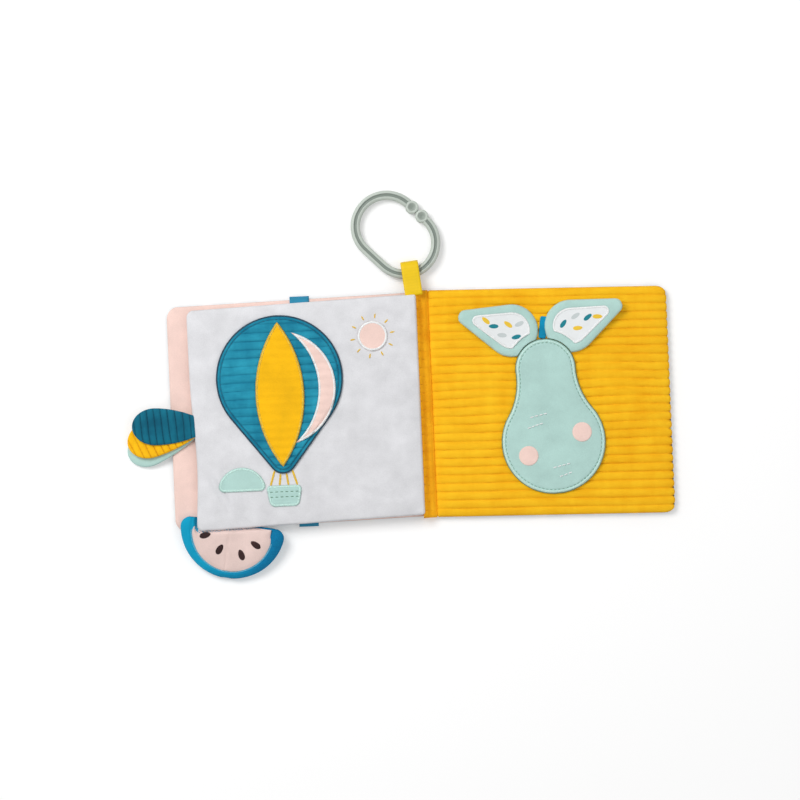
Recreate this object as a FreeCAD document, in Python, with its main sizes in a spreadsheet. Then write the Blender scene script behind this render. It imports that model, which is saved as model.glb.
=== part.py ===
import FreeCAD, Part
import math
import os

# A soft cloth baby book lying open on its back: a padded page on its front cover to the left, the corduroy
# inside of the back cover to the right, and a plastic link ring in a ribbon loop at the top of the spine.
# Millimetres. The spine runs along Y, the ring is at +Y, +Z is up. The origin is the middle of the spine's
# underside, on the surface that the book lies on.

SIZES = [
    # Leaves: width from spine to free edge, height along the spine, thickness where the padding is full.
    # Each cover reaches past the page at its free edge, and by its margin at both ends.
    ("page_width", 153.0),
    ("page_height", 147.5),
    ("page_thickness", 6.0),
    ("page_slant_angle", 1.8),
    ("page_corner", 5.0),
    ("front_reach", 13.8),
    ("front_margin", 1.45),
    ("front_slant_angle", 1.1),
    ("front_corner", 8.0),
    ("back_reach", 6.4),
    ("back_margin", 2.25),
    ("back_slant_angle", 1.35),
    ("back_corner", 6.5),
    ("cover_thickness", 6.0),
    ("hem_thickness", 2.0),
    ("edge_puff", 14.0),
    # Spine and the room between what moves and what it lies on.
    ("spine_width", 7.4),
    ("spine_margin", 0.3),
    ("spine_sag", 0.9),
    ("binding_gap", 0.4),
    ("lay_gap", 0.3),
    ("seat_gap", 0.2),
    # Corduroy.
    ("wale_pitch", 5.6),
    ("wale_depth", 1.3),
    ("tab_wale_pitch", 5.3),
    ("tab_wale_depth", 0.8),
    # Strap across the inside of the front cover.
    ("strap_width", 13.0),
    ("strap_thickness", 0.8),
    ("strap_from_spine", 77.5),
    ("strap_overhang", 3.0),
    # Petal tabs sewn in the page's free edge.
    ("tab_width", 24.6),
    ("tab_root_width", 13.5),
    ("tab_thickness", 2.3),
    ("tab_root_thickness", 1.0),
    ("tab_place", -3.5),
    ("teal_tab_length", 39.5),
    ("teal_tab_turn_angle", -2.5),
    ("teal_tab_droop_angle", 1.5),
    ("mustard_tab_length", 44.7),
    ("mustard_tab_turn_angle", 14.8),
    ("mustard_tab_droop_angle", 5.0),
    ("mint_tab_length", 47.8),
    ("mint_tab_turn_angle", 23.9),
    ("mint_tab_droop_angle", 9.0),
    # Plush fruit slice at the lower corner of the front cover.
    ("slice_radius", 35.0),
    ("slice_band", 3.0),
    ("slice_thickness", 7.0),
    ("slice_edge_round", 2.8),
    ("slice_corner", 6.5),
    ("slice_from_spine", 127.4),
    ("slice_tuck", 4.6),
    ("slice_turn_angle", -11.0),
    ("flesh_radius", 27.0),
    ("flesh_inset", 2.8),
    ("flesh_depth", 1.5),
    ("flesh_proud", 0.4),
    ("seed_length", 7.6),
    ("seed_width", 3.8),
    ("seed_proud", 0.7),
    ("seed_circle", 19.0),
    # Balloon picture on the page.
    ("patch_thickness", 1.0),
    ("envelope_radius", 42.0),
    ("envelope_thickness", 1.9),
    ("envelope_mouth", 9.0),
    ("envelope_drop", 54.0),
    ("envelope_from_spine", 93.0),
    ("envelope_above_middle", 24.0),
    ("gore_half_width", 16.0),
    ("gore_end_inset", 4.5),
    ("side_gore_inner", 17.0),
    ("side_gore_outer", 28.0),
    ("side_gore_shift", 9.0),
    ("side_gore_top_inset", 7.2),
    ("side_gore_low_inset", 15.3),
    ("basket_width", 24.0),
    ("basket_base_width", 19.2),
    ("basket_height", 14.0),
    ("basket_corner", 3.5),
    ("rope_length", 8.0),
    ("sun_radius", 10.0),
    ("sun_from_spine", 30.0),
    ("sun_below_edge", 26.0),
    ("hill_radius", 16.0),
    ("hill_corner", 3.5),
    ("hill_from_edge", 32.0),
    ("hill_above_edge", 24.5),
    # Pear picture on the back cover, with two loose leaf flaps.
    ("pear_thickness", 3.0),
    ("pear_lower_radius", 34.5),
    ("pear_upper_radius", 20.0),
    ("pear_lobe_distance", 49.0),
    ("pear_waist_radius", 46.0),
    ("pear_edge_round", 1.4),
    ("pear_from_spine", 80.0),
    ("pear_below_middle", 27.0),
    ("pear_lean_angle", 4.0),
    ("flap_thickness", 2.6),
    ("flap_radius", 17.5),
    ("flap_tip_radius", 5.0),
    ("flap_root_reach", 21.0),
    ("flap_reach", 32.0),
    ("flap_edge_round", 1.2),
    ("flap_panel_inset", 5.5),
    ("flap_panel_thickness", 0.6),
    ("flap_panel_tip_inset", 8.2),
    ("flap_panel_tip_radius", 3.5),
    ("left_flap_turn_angle", 162.0),
    ("right_flap_turn_angle", 22.0),
    ("spot_radius", 6.5),
    ("low_spot_left", 17.2),
    ("low_spot_below", 8.6),
    ("high_spot_right", 19.0),
    ("high_spot_above", 5.8),
    ("stem_width", 5.0),
    ("stem_height", 15.0),
    ("stem_corner", 1.5),
    ("stem_turn_angle", -8.0),
    # Ribbon loop and link ring.
    ("ribbon_width", 11.2),
    ("ribbon_thickness", 0.9),
    ("ribbon_room", 4.4),
    ("ribbon_fold_reach", 8.6),
    ("ribbon_root_gap", 0.1),
    ("ribbon_root_run", 2.0),
    ("ribbon_flat_start", 5.3),
    ("ribbon_root_bend", 1.0),
    ("ribbon_cut_bend", 0.02),
    ("ribbon_turn_angle", 7.0),
    ("ring_bar", 6.1),
    ("ring_sink", 0.75),
    ("ring_bar_round", 2.6),
    ("ring_end_radius", 20.95),
    ("ring_straight", 16.3),
    ("ring_groove_radius", 1.5),
    ("ring_groove_depth", 1.5),
    ("ring_past_spine_end", 11.0),
    ("ring_left_of_spine", 6.75),
    ("ring_lean_angle", 127.6),
    ("knob_radius", 4.4),
    ("knob_gap", 0.1),
    ("knob_cup_radius", 2.9),
    ("knob_cup_depth", 1.7),
    ("knob_edge_round", 1.3),
]

# Where the rounded edge of a padded leaf is divided, as shares of its width.
EDGE_STATIONS = (0.0, 0.06, 0.22, 0.5, 1.0)
# How much of its full depth a wale keeps where the corduroy runs into the hem.
HEM_WALE_SHARE = 0.35
# Room that a cutting shape has round what it cuts, as a share of its size.
CUT_ROOM = 1.2
# Directions of the seeds from the middle of the slice's straight edge, in degrees.
SEED_DIRECTIONS = (203.0, 249.0, 296.0, 332.0)

doc = FreeCAD.newDocument("cloth_book")
sheet = doc.addObject("Spreadsheet::Sheet", "Sizes")
for row, (alias, number) in enumerate(SIZES, start=1):
    sheet.set("A%d" % row, alias)
    sheet.set("B%d" % row, str(number))
    sheet.setAlias("B%d" % row, alias)
doc.recompute()


def size(alias):
    return float(sheet.get(alias))


# Heights and places that several pieces share, worked out from the sizes.
SEAM_PLANE = size("cover_thickness") / 2
HEM_HALF = size("hem_thickness") / 2
SPINE_HALF = size("spine_width") / 2
SPINE_END = size("page_height") / 2 + size("back_margin") + size("spine_margin")
RING_PLACE = SPINE_END + size("ring_past_spine_end")
STRAP_TOP = size("cover_thickness") + size("seat_gap") + size("strap_thickness")
PAGE_UNDERSIDE = STRAP_TOP + size("lay_gap")
PAGE_SEAM = PAGE_UNDERSIDE + size("page_thickness") / 2
PAGE_TOP = PAGE_UNDERSIDE + size("page_thickness")
BACK_TOP = size("cover_thickness") + size("wale_depth")
LOOP_HEIGHT = size("ribbon_thickness") + size("ribbon_room")
BAR_HEIGHT = LOOP_HEIGHT - size("ring_sink")

# The spine strip's length, as the sheet works it out.
SPINE_LENGTH = "Sizes.page_height + 2 * Sizes.back_margin + 2 * Sizes.spine_margin"


class Leaf:
    """The outline of a padded leaf, from its edge at the spine to its free edge, on one side of the spine."""

    def __init__(self, name, side, gap=0.0, reach=0.0, margin=0.0):
        self.side = side
        self.width = size("page_width") + reach
        self.height = size("page_height") + 2 * margin
        self.slope = math.tan(math.radians(size(name + "_slant_angle")))
        self.corner = size(name + "_corner")
        self.start = SPINE_HALF + gap

    def middle(self, distance):
        """Y of the leaf's middle line at a distance from the spine's middle."""
        return -self.slope * (distance - self.start)

    def edges(self, distance):
        middle = self.middle(distance)
        return middle - self.height / 2, middle + self.height / 2

    def place(self, from_spine, above_middle, height=0.0):
        """A point of the leaf, from distances along it, in the book's frame."""
        distance = self.start + from_spine
        return FreeCAD.Vector(self.side * distance, self.middle(distance) + above_middle, height)

    def outline(self, start_corner):
        inner, outer = self.start, self.start + self.width
        low_in, high_in = self.edges(inner)
        low_out, high_out = self.edges(outer)
        corners = [(inner, low_in), (outer, low_out), (outer, high_out), (inner, high_in)]
        points = [FreeCAD.Vector(self.side * x, y, 0) for x, y in corners]
        return rounded_polygon(points, [start_corner, self.corner, self.corner, start_corner])


PAGE = Leaf("page", -1)
FRONT = Leaf("front", -1, size("binding_gap"), size("front_reach"), size("front_margin"))
BACK = Leaf("back", 1, size("binding_gap"), size("back_reach"), size("back_margin"))


def turned(vector, degrees):
    return FreeCAD.Rotation(FreeCAD.Vector(0, 0, 1), degrees).multVec(vector)


def arc(first, middle, last):
    return Part.Arc(first, middle, last).toShape()


def line(first, last):
    return Part.LineSegment(first, last).toShape()


def prism(wire, low, high):
    """The space inside a flat outline between two heights."""
    face = Part.Face(wire)
    face.translate(FreeCAD.Vector(0, 0, low))
    return face.extrude(FreeCAD.Vector(0, 0, high - low))


def rounded_polygon(points, radii):
    """A closed outline of straight sides whose corners are rounded."""
    starts, edges = [], []
    for index, corner in enumerate(points):
        before = (points[index - 1] - corner).normalize()
        after = (points[(index + 1) % len(points)] - corner).normalize()
        half = before.getAngle(after) / 2
        reach = radii[index] / math.tan(half)
        first = corner + before * reach
        last = corner + after * reach
        inward = (before + after).normalize()
        crown = corner + inward * (radii[index] / math.sin(half) - radii[index])
        starts.append((first, crown, last))
    for index, (first, crown, last) in enumerate(starts):
        edges.append(arc(first, crown, last))
        edges.append(line(last, starts[(index + 1) % len(starts)][0]))
    return Part.Wire(edges)


def teardrop(big, big_radius, small, small_radius):
    """The outline round a large and a small circle, joined by their two tangents."""
    axis = small - big
    spread = math.degrees(math.acos((big_radius - small_radius) / axis.Length))
    axis.normalize()
    left, right = turned(axis, spread), turned(axis, -spread)
    return Part.Wire([
        arc(big + left * big_radius, big - axis * big_radius, big + right * big_radius),
        line(big + right * big_radius, small + right * small_radius),
        arc(small + right * small_radius, small + axis * small_radius, small + left * small_radius),
        line(small + left * small_radius, big + left * big_radius),
    ])


def two_lobes(low, low_radius, high, high_radius, waist_radius):
    """The outline of a pear: two circles joined by hollow arcs."""
    axis = high - low
    length = axis.Length
    axis.normalize()
    to_low, to_high = low_radius + waist_radius, high_radius + waist_radius
    along = (length ** 2 + to_low ** 2 - to_high ** 2) / (2 * length)
    across = math.sqrt(to_low ** 2 - along ** 2)
    sideways = FreeCAD.Vector(axis.y, -axis.x, 0)
    ends = []
    for side in (1, -1):
        waist = low + axis * along + sideways * (side * across)
        touch_low = low + (waist - low).normalize() * low_radius
        touch_high = high + (waist - high).normalize() * high_radius
        hollow = ((touch_low + touch_high) * 0.5 - waist).normalize()
        ends.append((touch_low, waist + hollow * waist_radius, touch_high))
    (low_a, hollow_a, high_a), (low_b, hollow_b, high_b) = ends
    return Part.Wire([
        arc(low_a, hollow_a, high_a),
        arc(high_a, high + axis * high_radius, high_b),
        arc(high_b, hollow_b, low_b),
        arc(low_b, low - axis * low_radius, low_a),
    ])


def half_disc(radius, corner, band=0.0):
    """The outline of a half disc below its straight edge, with rounded corners, about the edge's middle.

    The disc's own middle lies a band's width below the straight edge.
    """
    reach = math.sqrt((radius - corner) ** 2 - (corner - band) ** 2)
    middle = FreeCAD.Vector(0, -band, 0)
    edges = []
    touch = {}
    for side in (1, -1):
        centre = FreeCAD.Vector(side * reach, -corner, 0)
        outward = (centre - middle).normalize()
        on_arc = middle + outward * radius
        on_edge = FreeCAD.Vector(side * reach, 0, 0)
        between = centre + (FreeCAD.Vector(0, 1, 0) + outward).normalize() * corner
        touch[side] = (on_edge, between, on_arc)
    edges.append(arc(*touch[1]))
    edges.append(arc(touch[1][2], middle - FreeCAD.Vector(0, radius, 0), touch[-1][2]))
    edges.append(arc(*reversed(touch[-1])))
    edges.append(line(touch[-1][0], touch[1][0]))
    return Part.Wire(edges)


def gore(top, bottom, left_bulge, right_bulge):
    """A pointed panel between two arcs from its top to its bottom."""
    middle = (top + bottom) * 0.5
    return Part.Wire([
        arc(top, middle + FreeCAD.Vector(left_bulge, 0, 0), bottom),
        arc(bottom, middle + FreeCAD.Vector(right_bulge, 0, 0), top),
    ])


def puff(distance):
    """How far a padded leaf has risen at a distance from its nearest edge, from 0 at the hem to 1."""
    share = min(1.0, max(0.0, distance / size("edge_puff")))
    return math.sqrt(1 - (1 - share) ** 2)


def padded_half(leaf, seam, crown, up, wale_pitch=0.0, wale_depth=0.0):
    """Half of a padded leaf, between its seam plane and its crown, above it (up = 1) or below (up = -1).

    It is a ruled loft of sections across the leaf, from the spine to the free edge. Corduroy has a round
    wale between each two valleys of its section, and each wale runs the length of the loft.
    """
    width = size("edge_puff")
    near = [leaf.start + share * width for share in EDGE_STATIONS]
    far = [leaf.start + leaf.width - share * width for share in reversed(EDGE_STATIONS)]
    wales = round(leaf.height / wale_pitch) if wale_pitch else 0
    sections = []
    for distance in near + far:
        low, high = leaf.edges(distance)
        rise = puff(min(distance - leaf.start, leaf.start + leaf.width - distance))

        def spot(y, extra=0.0):
            height = HEM_HALF + (crown - HEM_HALF - wale_depth) * rise * puff(min(y - low, high - y)) + extra
            return FreeCAD.Vector(leaf.side * distance, y, seam + up * height)

        if wales:
            step = (high - low) / wales
            depth = wale_depth * (HEM_WALE_SHARE + (1 - HEM_WALE_SHARE) * rise)
            top = [arc(spot(low + step * wale), spot(low + step * (wale + 0.5), depth),
                       spot(low + step * (wale + 1))) for wale in range(wales)]
        else:
            across = [low + share * width for share in EDGE_STATIONS]
            across += [high - share * width for share in reversed(EDGE_STATIONS)]
            top = [line(spot(first), spot(last)) for first, last in zip(across, across[1:])]
        foot_low = FreeCAD.Vector(leaf.side * distance, low, seam)
        foot_high = FreeCAD.Vector(leaf.side * distance, high, seam)
        ends = [line(spot(high), foot_high), line(foot_high, foot_low), line(foot_low, spot(low))]
        sections.append(Part.Wire(top + ends))
    return Part.makeLoft(sections, True, True)


def cut_to_outline(shape, leaf):
    """A leaf's half with the leaf's rounded corners."""
    start_corner = size("hem_thickness")
    return shape.common(prism(leaf.outline(start_corner), -size("edge_puff"), PAGE_TOP + size("edge_puff")))


def ridged_strip(length, breadth, pitch, depth, thickness, root_thickness):
    """A flat strip along X whose top has round wales across it, thinner at both of its ends.

    It is centred on its length's axis, and its middle plane is at height 0.
    """
    wales = max(1, round(length / pitch))
    step = length / wales

    def half_thickness(x):
        room = min(x, length - x)
        share = min(1.0, room / (length / 2.5))
        return (root_thickness + (thickness - root_thickness) * math.sin(share * math.pi / 2) ** 2) / 2

    def valley(x):
        return half_thickness(x) - depth * min(1.0, HEM_WALE_SHARE + 2 * min(x, length - x) / length)

    def top(x, crest=False):
        return FreeCAD.Vector(x, -breadth / 2, half_thickness(x) if crest else valley(x))

    def bottom(x):
        return FreeCAD.Vector(x, -breadth / 2, -half_thickness(x))

    if depth:
        edges = [arc(top(step * wale), top(step * (wale + 0.5), True), top(step * (wale + 1)))
                 for wale in range(wales)]
    else:
        edges = [line(top(step * wale, True), top(step * (wale + 1), True)) for wale in range(wales)]
    stops = [step * wale for wale in range(wales, -1, -2)]
    if stops[-1] != 0:
        stops.append(0)
    edges.append(line(top(length), bottom(length)))
    edges += [line(bottom(first), bottom(last)) for first, last in zip(stops, stops[1:])]
    edges.append(line(bottom(0), top(0)))
    return Part.Face(Part.Wire(edges)).extrude(FreeCAD.Vector(0, breadth, 0))


def rounded_rim(solid, radius, top_only=True):
    """A flat piece with its upper rim, or both rims, rounded."""
    box = solid.BoundBox
    levels = (box.ZMax,) if top_only else (box.ZMin, box.ZMax)

    def on_rim(edge):
        return any(abs(edge.BoundBox.ZMin - level) + abs(edge.BoundBox.ZMax - level) < 1e-3 for level in levels)

    return solid.makeFillet(radius, [edge for edge in solid.Edges if on_rim(edge)])


def feature(label, shape, placement=None):
    """A piece whose shape is worked out in code from the sizes."""
    piece = doc.addObject("Part::Feature", label)
    piece.Label = label
    piece.Shape = shape
    piece.Placement = placement or FreeCAD.Placement()
    return piece


def plane_of(body, role):
    return next(item for item in body.Origin.OriginFeatures if item.Role == role)


def sketched_pad(label, wires, plane, length, both_sides=False, rim=None):
    """A body with one sketch, padded by a length from the sheet, and its upper rim rounded if rim names one."""
    body = doc.addObject("PartDesign::Body", label)
    body.Label = label
    sketch = body.newObject("Sketcher::SketchObject", label + "_outline")
    sketch.AttachmentSupport = [(plane_of(body, plane), "")]
    sketch.MapMode = "FlatFace"
    for wire in wires:
        for edge in wire.Edges:
            curve = edge.Curve
            if isinstance(curve, Part.Circle):
                whole = abs(edge.LastParameter - edge.FirstParameter - 2 * math.pi) < 1e-9
                if not whole:
                    curve = Part.ArcOfCircle(curve, edge.FirstParameter, edge.LastParameter)
            else:
                curve = Part.LineSegment(edge.firstVertex().Point, edge.lastVertex().Point)
            sketch.addGeometry(curve, False)
    pad = body.newObject("PartDesign::Pad", label + "_pad")
    pad.Profile = sketch
    pad.setExpression("Length", length)
    if both_sides:
        pad.SideType = "Symmetric"
    doc.recompute()
    if rim:
        top = pad.Shape.BoundBox.ZMax
        names = ["Edge%d" % (number + 1) for number, edge in enumerate(pad.Shape.Edges)
                 if edge.BoundBox.ZMin > top - 1e-3]
        fillet = body.newObject("PartDesign::Fillet", label + "_rim")
        fillet.Base = (pad, names)
        fillet.setExpression("Radius", "Sizes." + rim)
        doc.recompute()
    return body


def laid_at(point, turn=0.0):
    return FreeCAD.Placement(point, FreeCAD.Rotation(FreeCAD.Vector(0, 0, 1), turn))


def disc(label, radius, thickness, point):
    """A round patch: a cylinder bound to the sheet."""
    piece = doc.addObject("Part::Cylinder", label)
    piece.Label = label
    piece.setExpression("Radius", "Sizes." + radius)
    piece.setExpression("Height", "Sizes." + thickness)
    piece.Placement = laid_at(point)
    return piece


# Leaves.

def inner_page():
    half = size("page_thickness") / 2
    upper = padded_half(PAGE, PAGE_SEAM, half, 1)
    lower = padded_half(PAGE, PAGE_SEAM, half, -1)
    return feature("inner_page", cut_to_outline(upper.fuse(lower).removeSplitter(), PAGE))


def front_cover():
    half = size("cover_thickness") / 2
    upper = padded_half(FRONT, SEAM_PLANE, half, 1)
    lower = padded_half(FRONT, SEAM_PLANE, half, -1)
    return [feature("front_cover_inside", cut_to_outline(upper, FRONT)),
            feature("front_cover_outside", cut_to_outline(lower, FRONT))]


def back_cover():
    half = size("cover_thickness") / 2
    upper = padded_half(BACK, SEAM_PLANE, half + size("wale_depth"), 1, size("wale_pitch"), size("wale_depth"))
    lower = padded_half(BACK, SEAM_PLANE, half, -1)
    return [feature("back_cover_inside", cut_to_outline(upper, BACK)),
            feature("back_cover_outside", cut_to_outline(lower, BACK))]


def spine_strip():
    """The cloth strip between the page's edge and the back cover, a hollow slope from one hem to the other."""
    left = FreeCAD.Vector(-SPINE_HALF, 0, 0)
    right = FreeCAD.Vector(SPINE_HALF, 0, 0)
    right_top = FreeCAD.Vector(SPINE_HALF, SEAM_PLANE + HEM_HALF, 0)
    left_top = FreeCAD.Vector(-SPINE_HALF, PAGE_SEAM + HEM_HALF, 0)
    sag = FreeCAD.Vector(-1, -1, 0).normalize() * size("spine_sag")
    outline = Part.Wire([line(left, right), line(right, right_top),
                         arc(right_top, (right_top + left_top) * 0.5 + sag, left_top), line(left_top, left)])
    return sketched_pad("spine_strip", [outline], "XZ_Plane", SPINE_LENGTH, both_sides=True)


def strap():
    """A flat strap over the inside of the front cover, with its ends turned down past the two hems."""
    width = size("edge_puff")
    distance = FRONT.start + size("strap_from_spine") - size("strap_width") / 2
    low, high = FRONT.edges(distance + size("strap_width") / 2)
    over = size("strap_overhang")
    gap = size("seat_gap")
    crown = size("cover_thickness") / 2
    under = [FreeCAD.Vector(0, low - over, SEAM_PLANE + gap)]
    steps = [low + share * width for share in EDGE_STATIONS]
    steps += [high - share * width for share in reversed(EDGE_STATIONS)]
    for y in steps:
        height = HEM_HALF + (crown - HEM_HALF) * puff(min(y - low, high - y))
        under.append(FreeCAD.Vector(0, y, SEAM_PLANE + height + gap))
    under.append(FreeCAD.Vector(0, high + over, SEAM_PLANE + gap))
    rise = FreeCAD.Vector(0, 0, size("strap_thickness"))
    upper = [point + rise for point in reversed(under)]
    face = Part.Face(Part.makePolygon(under + upper + under[:1]))
    solid = face.extrude(FreeCAD.Vector(-size("strap_width"), 0, 0))
    return feature("strap", solid, laid_at(FreeCAD.Vector(-distance, 0, 0)))


def petal_tab(colour, height, ridged):
    """A padded petal sewn by its narrow end, lying out past the page's free edge."""
    length = size(colour + "_tab_length")
    radius = size("tab_width") / 2
    root = size("tab_root_width") / 2
    depth = size("tab_wale_depth") if ridged else 0.0
    strip = ridged_strip(length, size("tab_width") * CUT_ROOM, size("tab_wale_pitch"), depth,
                         size("tab_thickness"), size("tab_root_thickness"))
    outline = teardrop(FreeCAD.Vector(length - radius, 0, 0), radius, FreeCAD.Vector(0, 0, 0), root)
    petal = strip.common(prism(outline, -size("tab_thickness"), size("tab_thickness")))
    edge = PAGE.place(PAGE.width + size("lay_gap"), size("tab_place"), height)
    turn = FreeCAD.Rotation(FreeCAD.Vector(0, 0, 1), 180 + size(colour + "_tab_turn_angle"))
    droop = FreeCAD.Rotation(FreeCAD.Vector(0, 1, 0), size(colour + "_tab_droop_angle"))
    petal.Placement = FreeCAD.Placement(edge, turn.multiply(droop))
    page = Part.makeBox(PAGE.width, PAGE.height * 2, PAGE_TOP * 2, edge - FreeCAD.Vector(0, PAGE.height, height))
    return feature("petal_tab_" + colour, petal.cut(page))


def petal_tabs():
    step = size("tab_root_thickness") + 2 * size("seat_gap")
    return [petal_tab("teal", PAGE_SEAM + step, True),
            petal_tab("mustard", PAGE_SEAM, True),
            petal_tab("mint", PAGE_SEAM - step, False)]


# The fruit slice lies half under the page, so it is pressed to the two leaves that it lies between.

def across_slice(profile):
    """A profile of heights over Y, carried along X past both ends of the slice."""
    points = [FreeCAD.Vector(0, y, z) for y, z in profile]
    face = Part.Face(Part.makePolygon(points + points[:1]))
    reach = 2 * size("slice_radius")
    face.translate(FreeCAD.Vector(-FRONT.start - size("slice_from_spine") - reach, 0, 0))
    return face.extrude(FreeCAD.Vector(2 * reach, 0, 0))


def room_under_page():
    """The space that the page and its rounded lower edge take up above the slice."""
    low, _ = PAGE.edges(PAGE.start + size("slice_from_spine") + size("slice_radius"))
    gap = size("lay_gap")
    width = size("edge_puff")
    ceiling = [(low - width / 4, PAGE_TOP)]
    for share in EDGE_STATIONS[:-1]:
        drop = (size("page_thickness") / 2 - HEM_HALF) * puff(share * width)
        ceiling.append((low + share * width, PAGE_SEAM - HEM_HALF - drop - gap))
    ceiling.append((low + 3 * width, PAGE_UNDERSIDE - gap))
    ceiling.append((low + 3 * width, 2 * PAGE_TOP))
    ceiling.append((low - width / 4, 2 * PAGE_TOP))
    return across_slice(ceiling)


def room_of_cover():
    """The space that the front cover and its rounded lower edge take up below the slice."""
    low, _ = FRONT.edges(FRONT.start + size("slice_from_spine") + size("slice_radius"))
    width = size("edge_puff")
    base = SEAM_PLANE + HEM_HALF + size("seat_gap")
    floor = [(low, 0)]
    for share in EDGE_STATIONS:
        floor.append((low + share * width, base + (size("cover_thickness") / 2 - HEM_HALF) * puff(share * width)))
    floor.append((low + 3 * width, floor[-1][1]))
    floor.append((low + 3 * width, 0))
    return across_slice(floor)


def slice_placement():
    lift = size("cover_thickness") + size("seat_gap")
    tilt = math.degrees(math.asin(lift / (size("slice_band") + size("slice_radius"))))
    point = FRONT.place(size("slice_from_spine"), -FRONT.height / 2 + size("slice_tuck"), lift)
    turn = FreeCAD.Rotation(FreeCAD.Vector(0, 0, 1), size("slice_turn_angle"))
    return FreeCAD.Placement(point, turn.multiply(FreeCAD.Rotation(FreeCAD.Vector(1, 0, 0), tilt)))


def pressed(solid):
    """A solid of the slice in its place, less the room that the page and the cover take."""
    solid.Placement = slice_placement()
    return solid.cut(room_under_page()).cut(room_of_cover())


def fruit_slice():
    top = size("slice_thickness")
    floor = top - size("flesh_depth")
    whole = half_disc(size("slice_radius"), size("slice_corner"), size("slice_band"))
    rind = rounded_rim(prism(whole, 0, top), size("slice_edge_round"), top_only=False)
    flesh_outline = half_disc(size("flesh_radius"), size("slice_corner"), size("slice_band"))
    flesh_outline.translate(FreeCAD.Vector(0, -size("flesh_inset"), 0))
    rind = rind.cut(prism(flesh_outline, floor, 2 * top))
    flesh = prism(flesh_outline, floor, top + size("flesh_proud"))
    pieces = [feature("slice_rind", pressed(rind)), feature("slice_flesh", pressed(flesh))]
    seeds = []
    for direction in SEED_DIRECTIONS:
        outward = turned(FreeCAD.Vector(1, 0, 0), direction)
        ellipse = Part.Ellipse(FreeCAD.Vector(), size("seed_length") / 2, size("seed_width") / 2)
        seed = prism(Part.Wire([ellipse.toShape()]), 0, size("seed_proud"))
        lowered = FreeCAD.Vector(0, -size("slice_band"), top + size("flesh_proud"))
        seed.Placement = laid_at(outward * size("seed_circle") + lowered, direction)
        seeds.append(seed)
    seeds = Part.makeCompound(seeds)
    pieces.append(feature("slice_seeds", pressed(seeds)))
    return pieces


# The balloon picture, sewn on the page.

def balloon():
    ground = PAGE_TOP + size("seat_gap")
    crown = ground + size("envelope_thickness")
    overlay = crown + size("seat_gap")
    centre = PAGE.place(size("envelope_from_spine"), size("envelope_above_middle"), 0)
    mouth = centre - FreeCAD.Vector(0, size("envelope_drop"), 0)
    outline = teardrop(centre, size("envelope_radius"), mouth, size("envelope_mouth"))
    box = outline.BoundBox
    strip = ridged_strip(box.YLength, box.XLength, size("wale_pitch"), size("tab_wale_depth"),
                         2 * size("envelope_thickness"), size("envelope_thickness"))
    strip.Placement = laid_at(FreeCAD.Vector(centre.x, box.YMin, ground), 90)
    envelope = strip.common(prism(outline, ground, 2 * crown))
    top = centre + FreeCAD.Vector(0, size("envelope_radius") - size("gore_end_inset"), 0)
    bottom = mouth - FreeCAD.Vector(0, size("envelope_mouth") - size("gore_end_inset"), 0)
    half = size("gore_half_width")
    side_low = bottom + FreeCAD.Vector(size("side_gore_shift"), size("side_gore_low_inset"), 0)
    side_top = top + FreeCAD.Vector(size("side_gore_shift"), -size("side_gore_top_inset"), 0)
    pieces = [
        feature("balloon_envelope", envelope),
        sketched_pad("balloon_gore_mustard", [gore(top, bottom, -half, half)], "XY_Plane", "Sizes.patch_thickness"),
        sketched_pad("balloon_gore_pink",
                     [gore(side_top, side_low, size("side_gore_inner"), size("side_gore_outer"))],
                     "XY_Plane", "Sizes.patch_thickness"),
    ]
    for piece in pieces[1:]:
        piece.Placement = laid_at(FreeCAD.Vector(0, 0, overlay))
    pieces.append(basket(mouth, ground))
    sun = PAGE.place(size("sun_from_spine"), size("page_height") / 2 - size("sun_below_edge"), ground)
    pieces.append(disc("sun_patch", "sun_radius", "patch_thickness", sun))
    hill = sketched_pad("hill_patch", [half_disc(size("hill_radius"), size("hill_corner"))],
                        "XY_Plane", "Sizes.patch_thickness")
    foot = PAGE.place(size("page_width") - size("hill_from_edge"),
                      size("hill_above_edge") - size("page_height") / 2, ground)
    hill.Placement = laid_at(foot, 180)
    pieces.append(hill)
    return pieces


def basket(mouth, ground):
    wide, high = size("basket_width") / 2, size("basket_height")
    base = size("basket_base_width") / 2
    corners = [FreeCAD.Vector(-base, -high, 0), FreeCAD.Vector(base, -high, 0),
               FreeCAD.Vector(wide, 0, 0), FreeCAD.Vector(-wide, 0, 0)]
    body = sketched_pad("balloon_basket", [rounded_polygon(corners, [size("basket_corner")] * 4)],
                        "XY_Plane", "Sizes.patch_thickness")
    drop = size("envelope_mouth") + size("rope_length")
    body.Placement = laid_at(FreeCAD.Vector(mouth.x, mouth.y - drop, ground))
    return body


# The pear picture, sewn on the corduroy, with a loose padded leaf at each side of its stem.

def pear_lobes():
    low = BACK.place(size("pear_from_spine"), -size("pear_below_middle"))
    high = low + turned(FreeCAD.Vector(0, size("pear_lobe_distance"), 0), size("pear_lean_angle"))
    return low, high


def pear_outline(grow=0.0):
    low, high = pear_lobes()
    return two_lobes(low, size("pear_lower_radius") + grow, high, size("pear_upper_radius") + grow,
                     size("pear_waist_radius") - grow)


def stem_outline(grow=0.0):
    """The stem's outline above the top of the pear, in the book's frame."""
    _, high = pear_lobes()
    wide = size("stem_width") / 2 + grow
    tall = size("stem_height") + grow
    outline = rounded_polygon([FreeCAD.Vector(-wide, -grow, 0), FreeCAD.Vector(wide, -grow, 0),
                               FreeCAD.Vector(wide, tall, 0), FreeCAD.Vector(-wide, tall, 0)],
                              [size("stem_corner")] * 4)
    root = high + turned(FreeCAD.Vector(0, size("pear_upper_radius") + size("lay_gap"), 0), size("pear_lean_angle"))
    outline.Placement = laid_at(root, size("stem_turn_angle"))
    return outline


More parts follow.
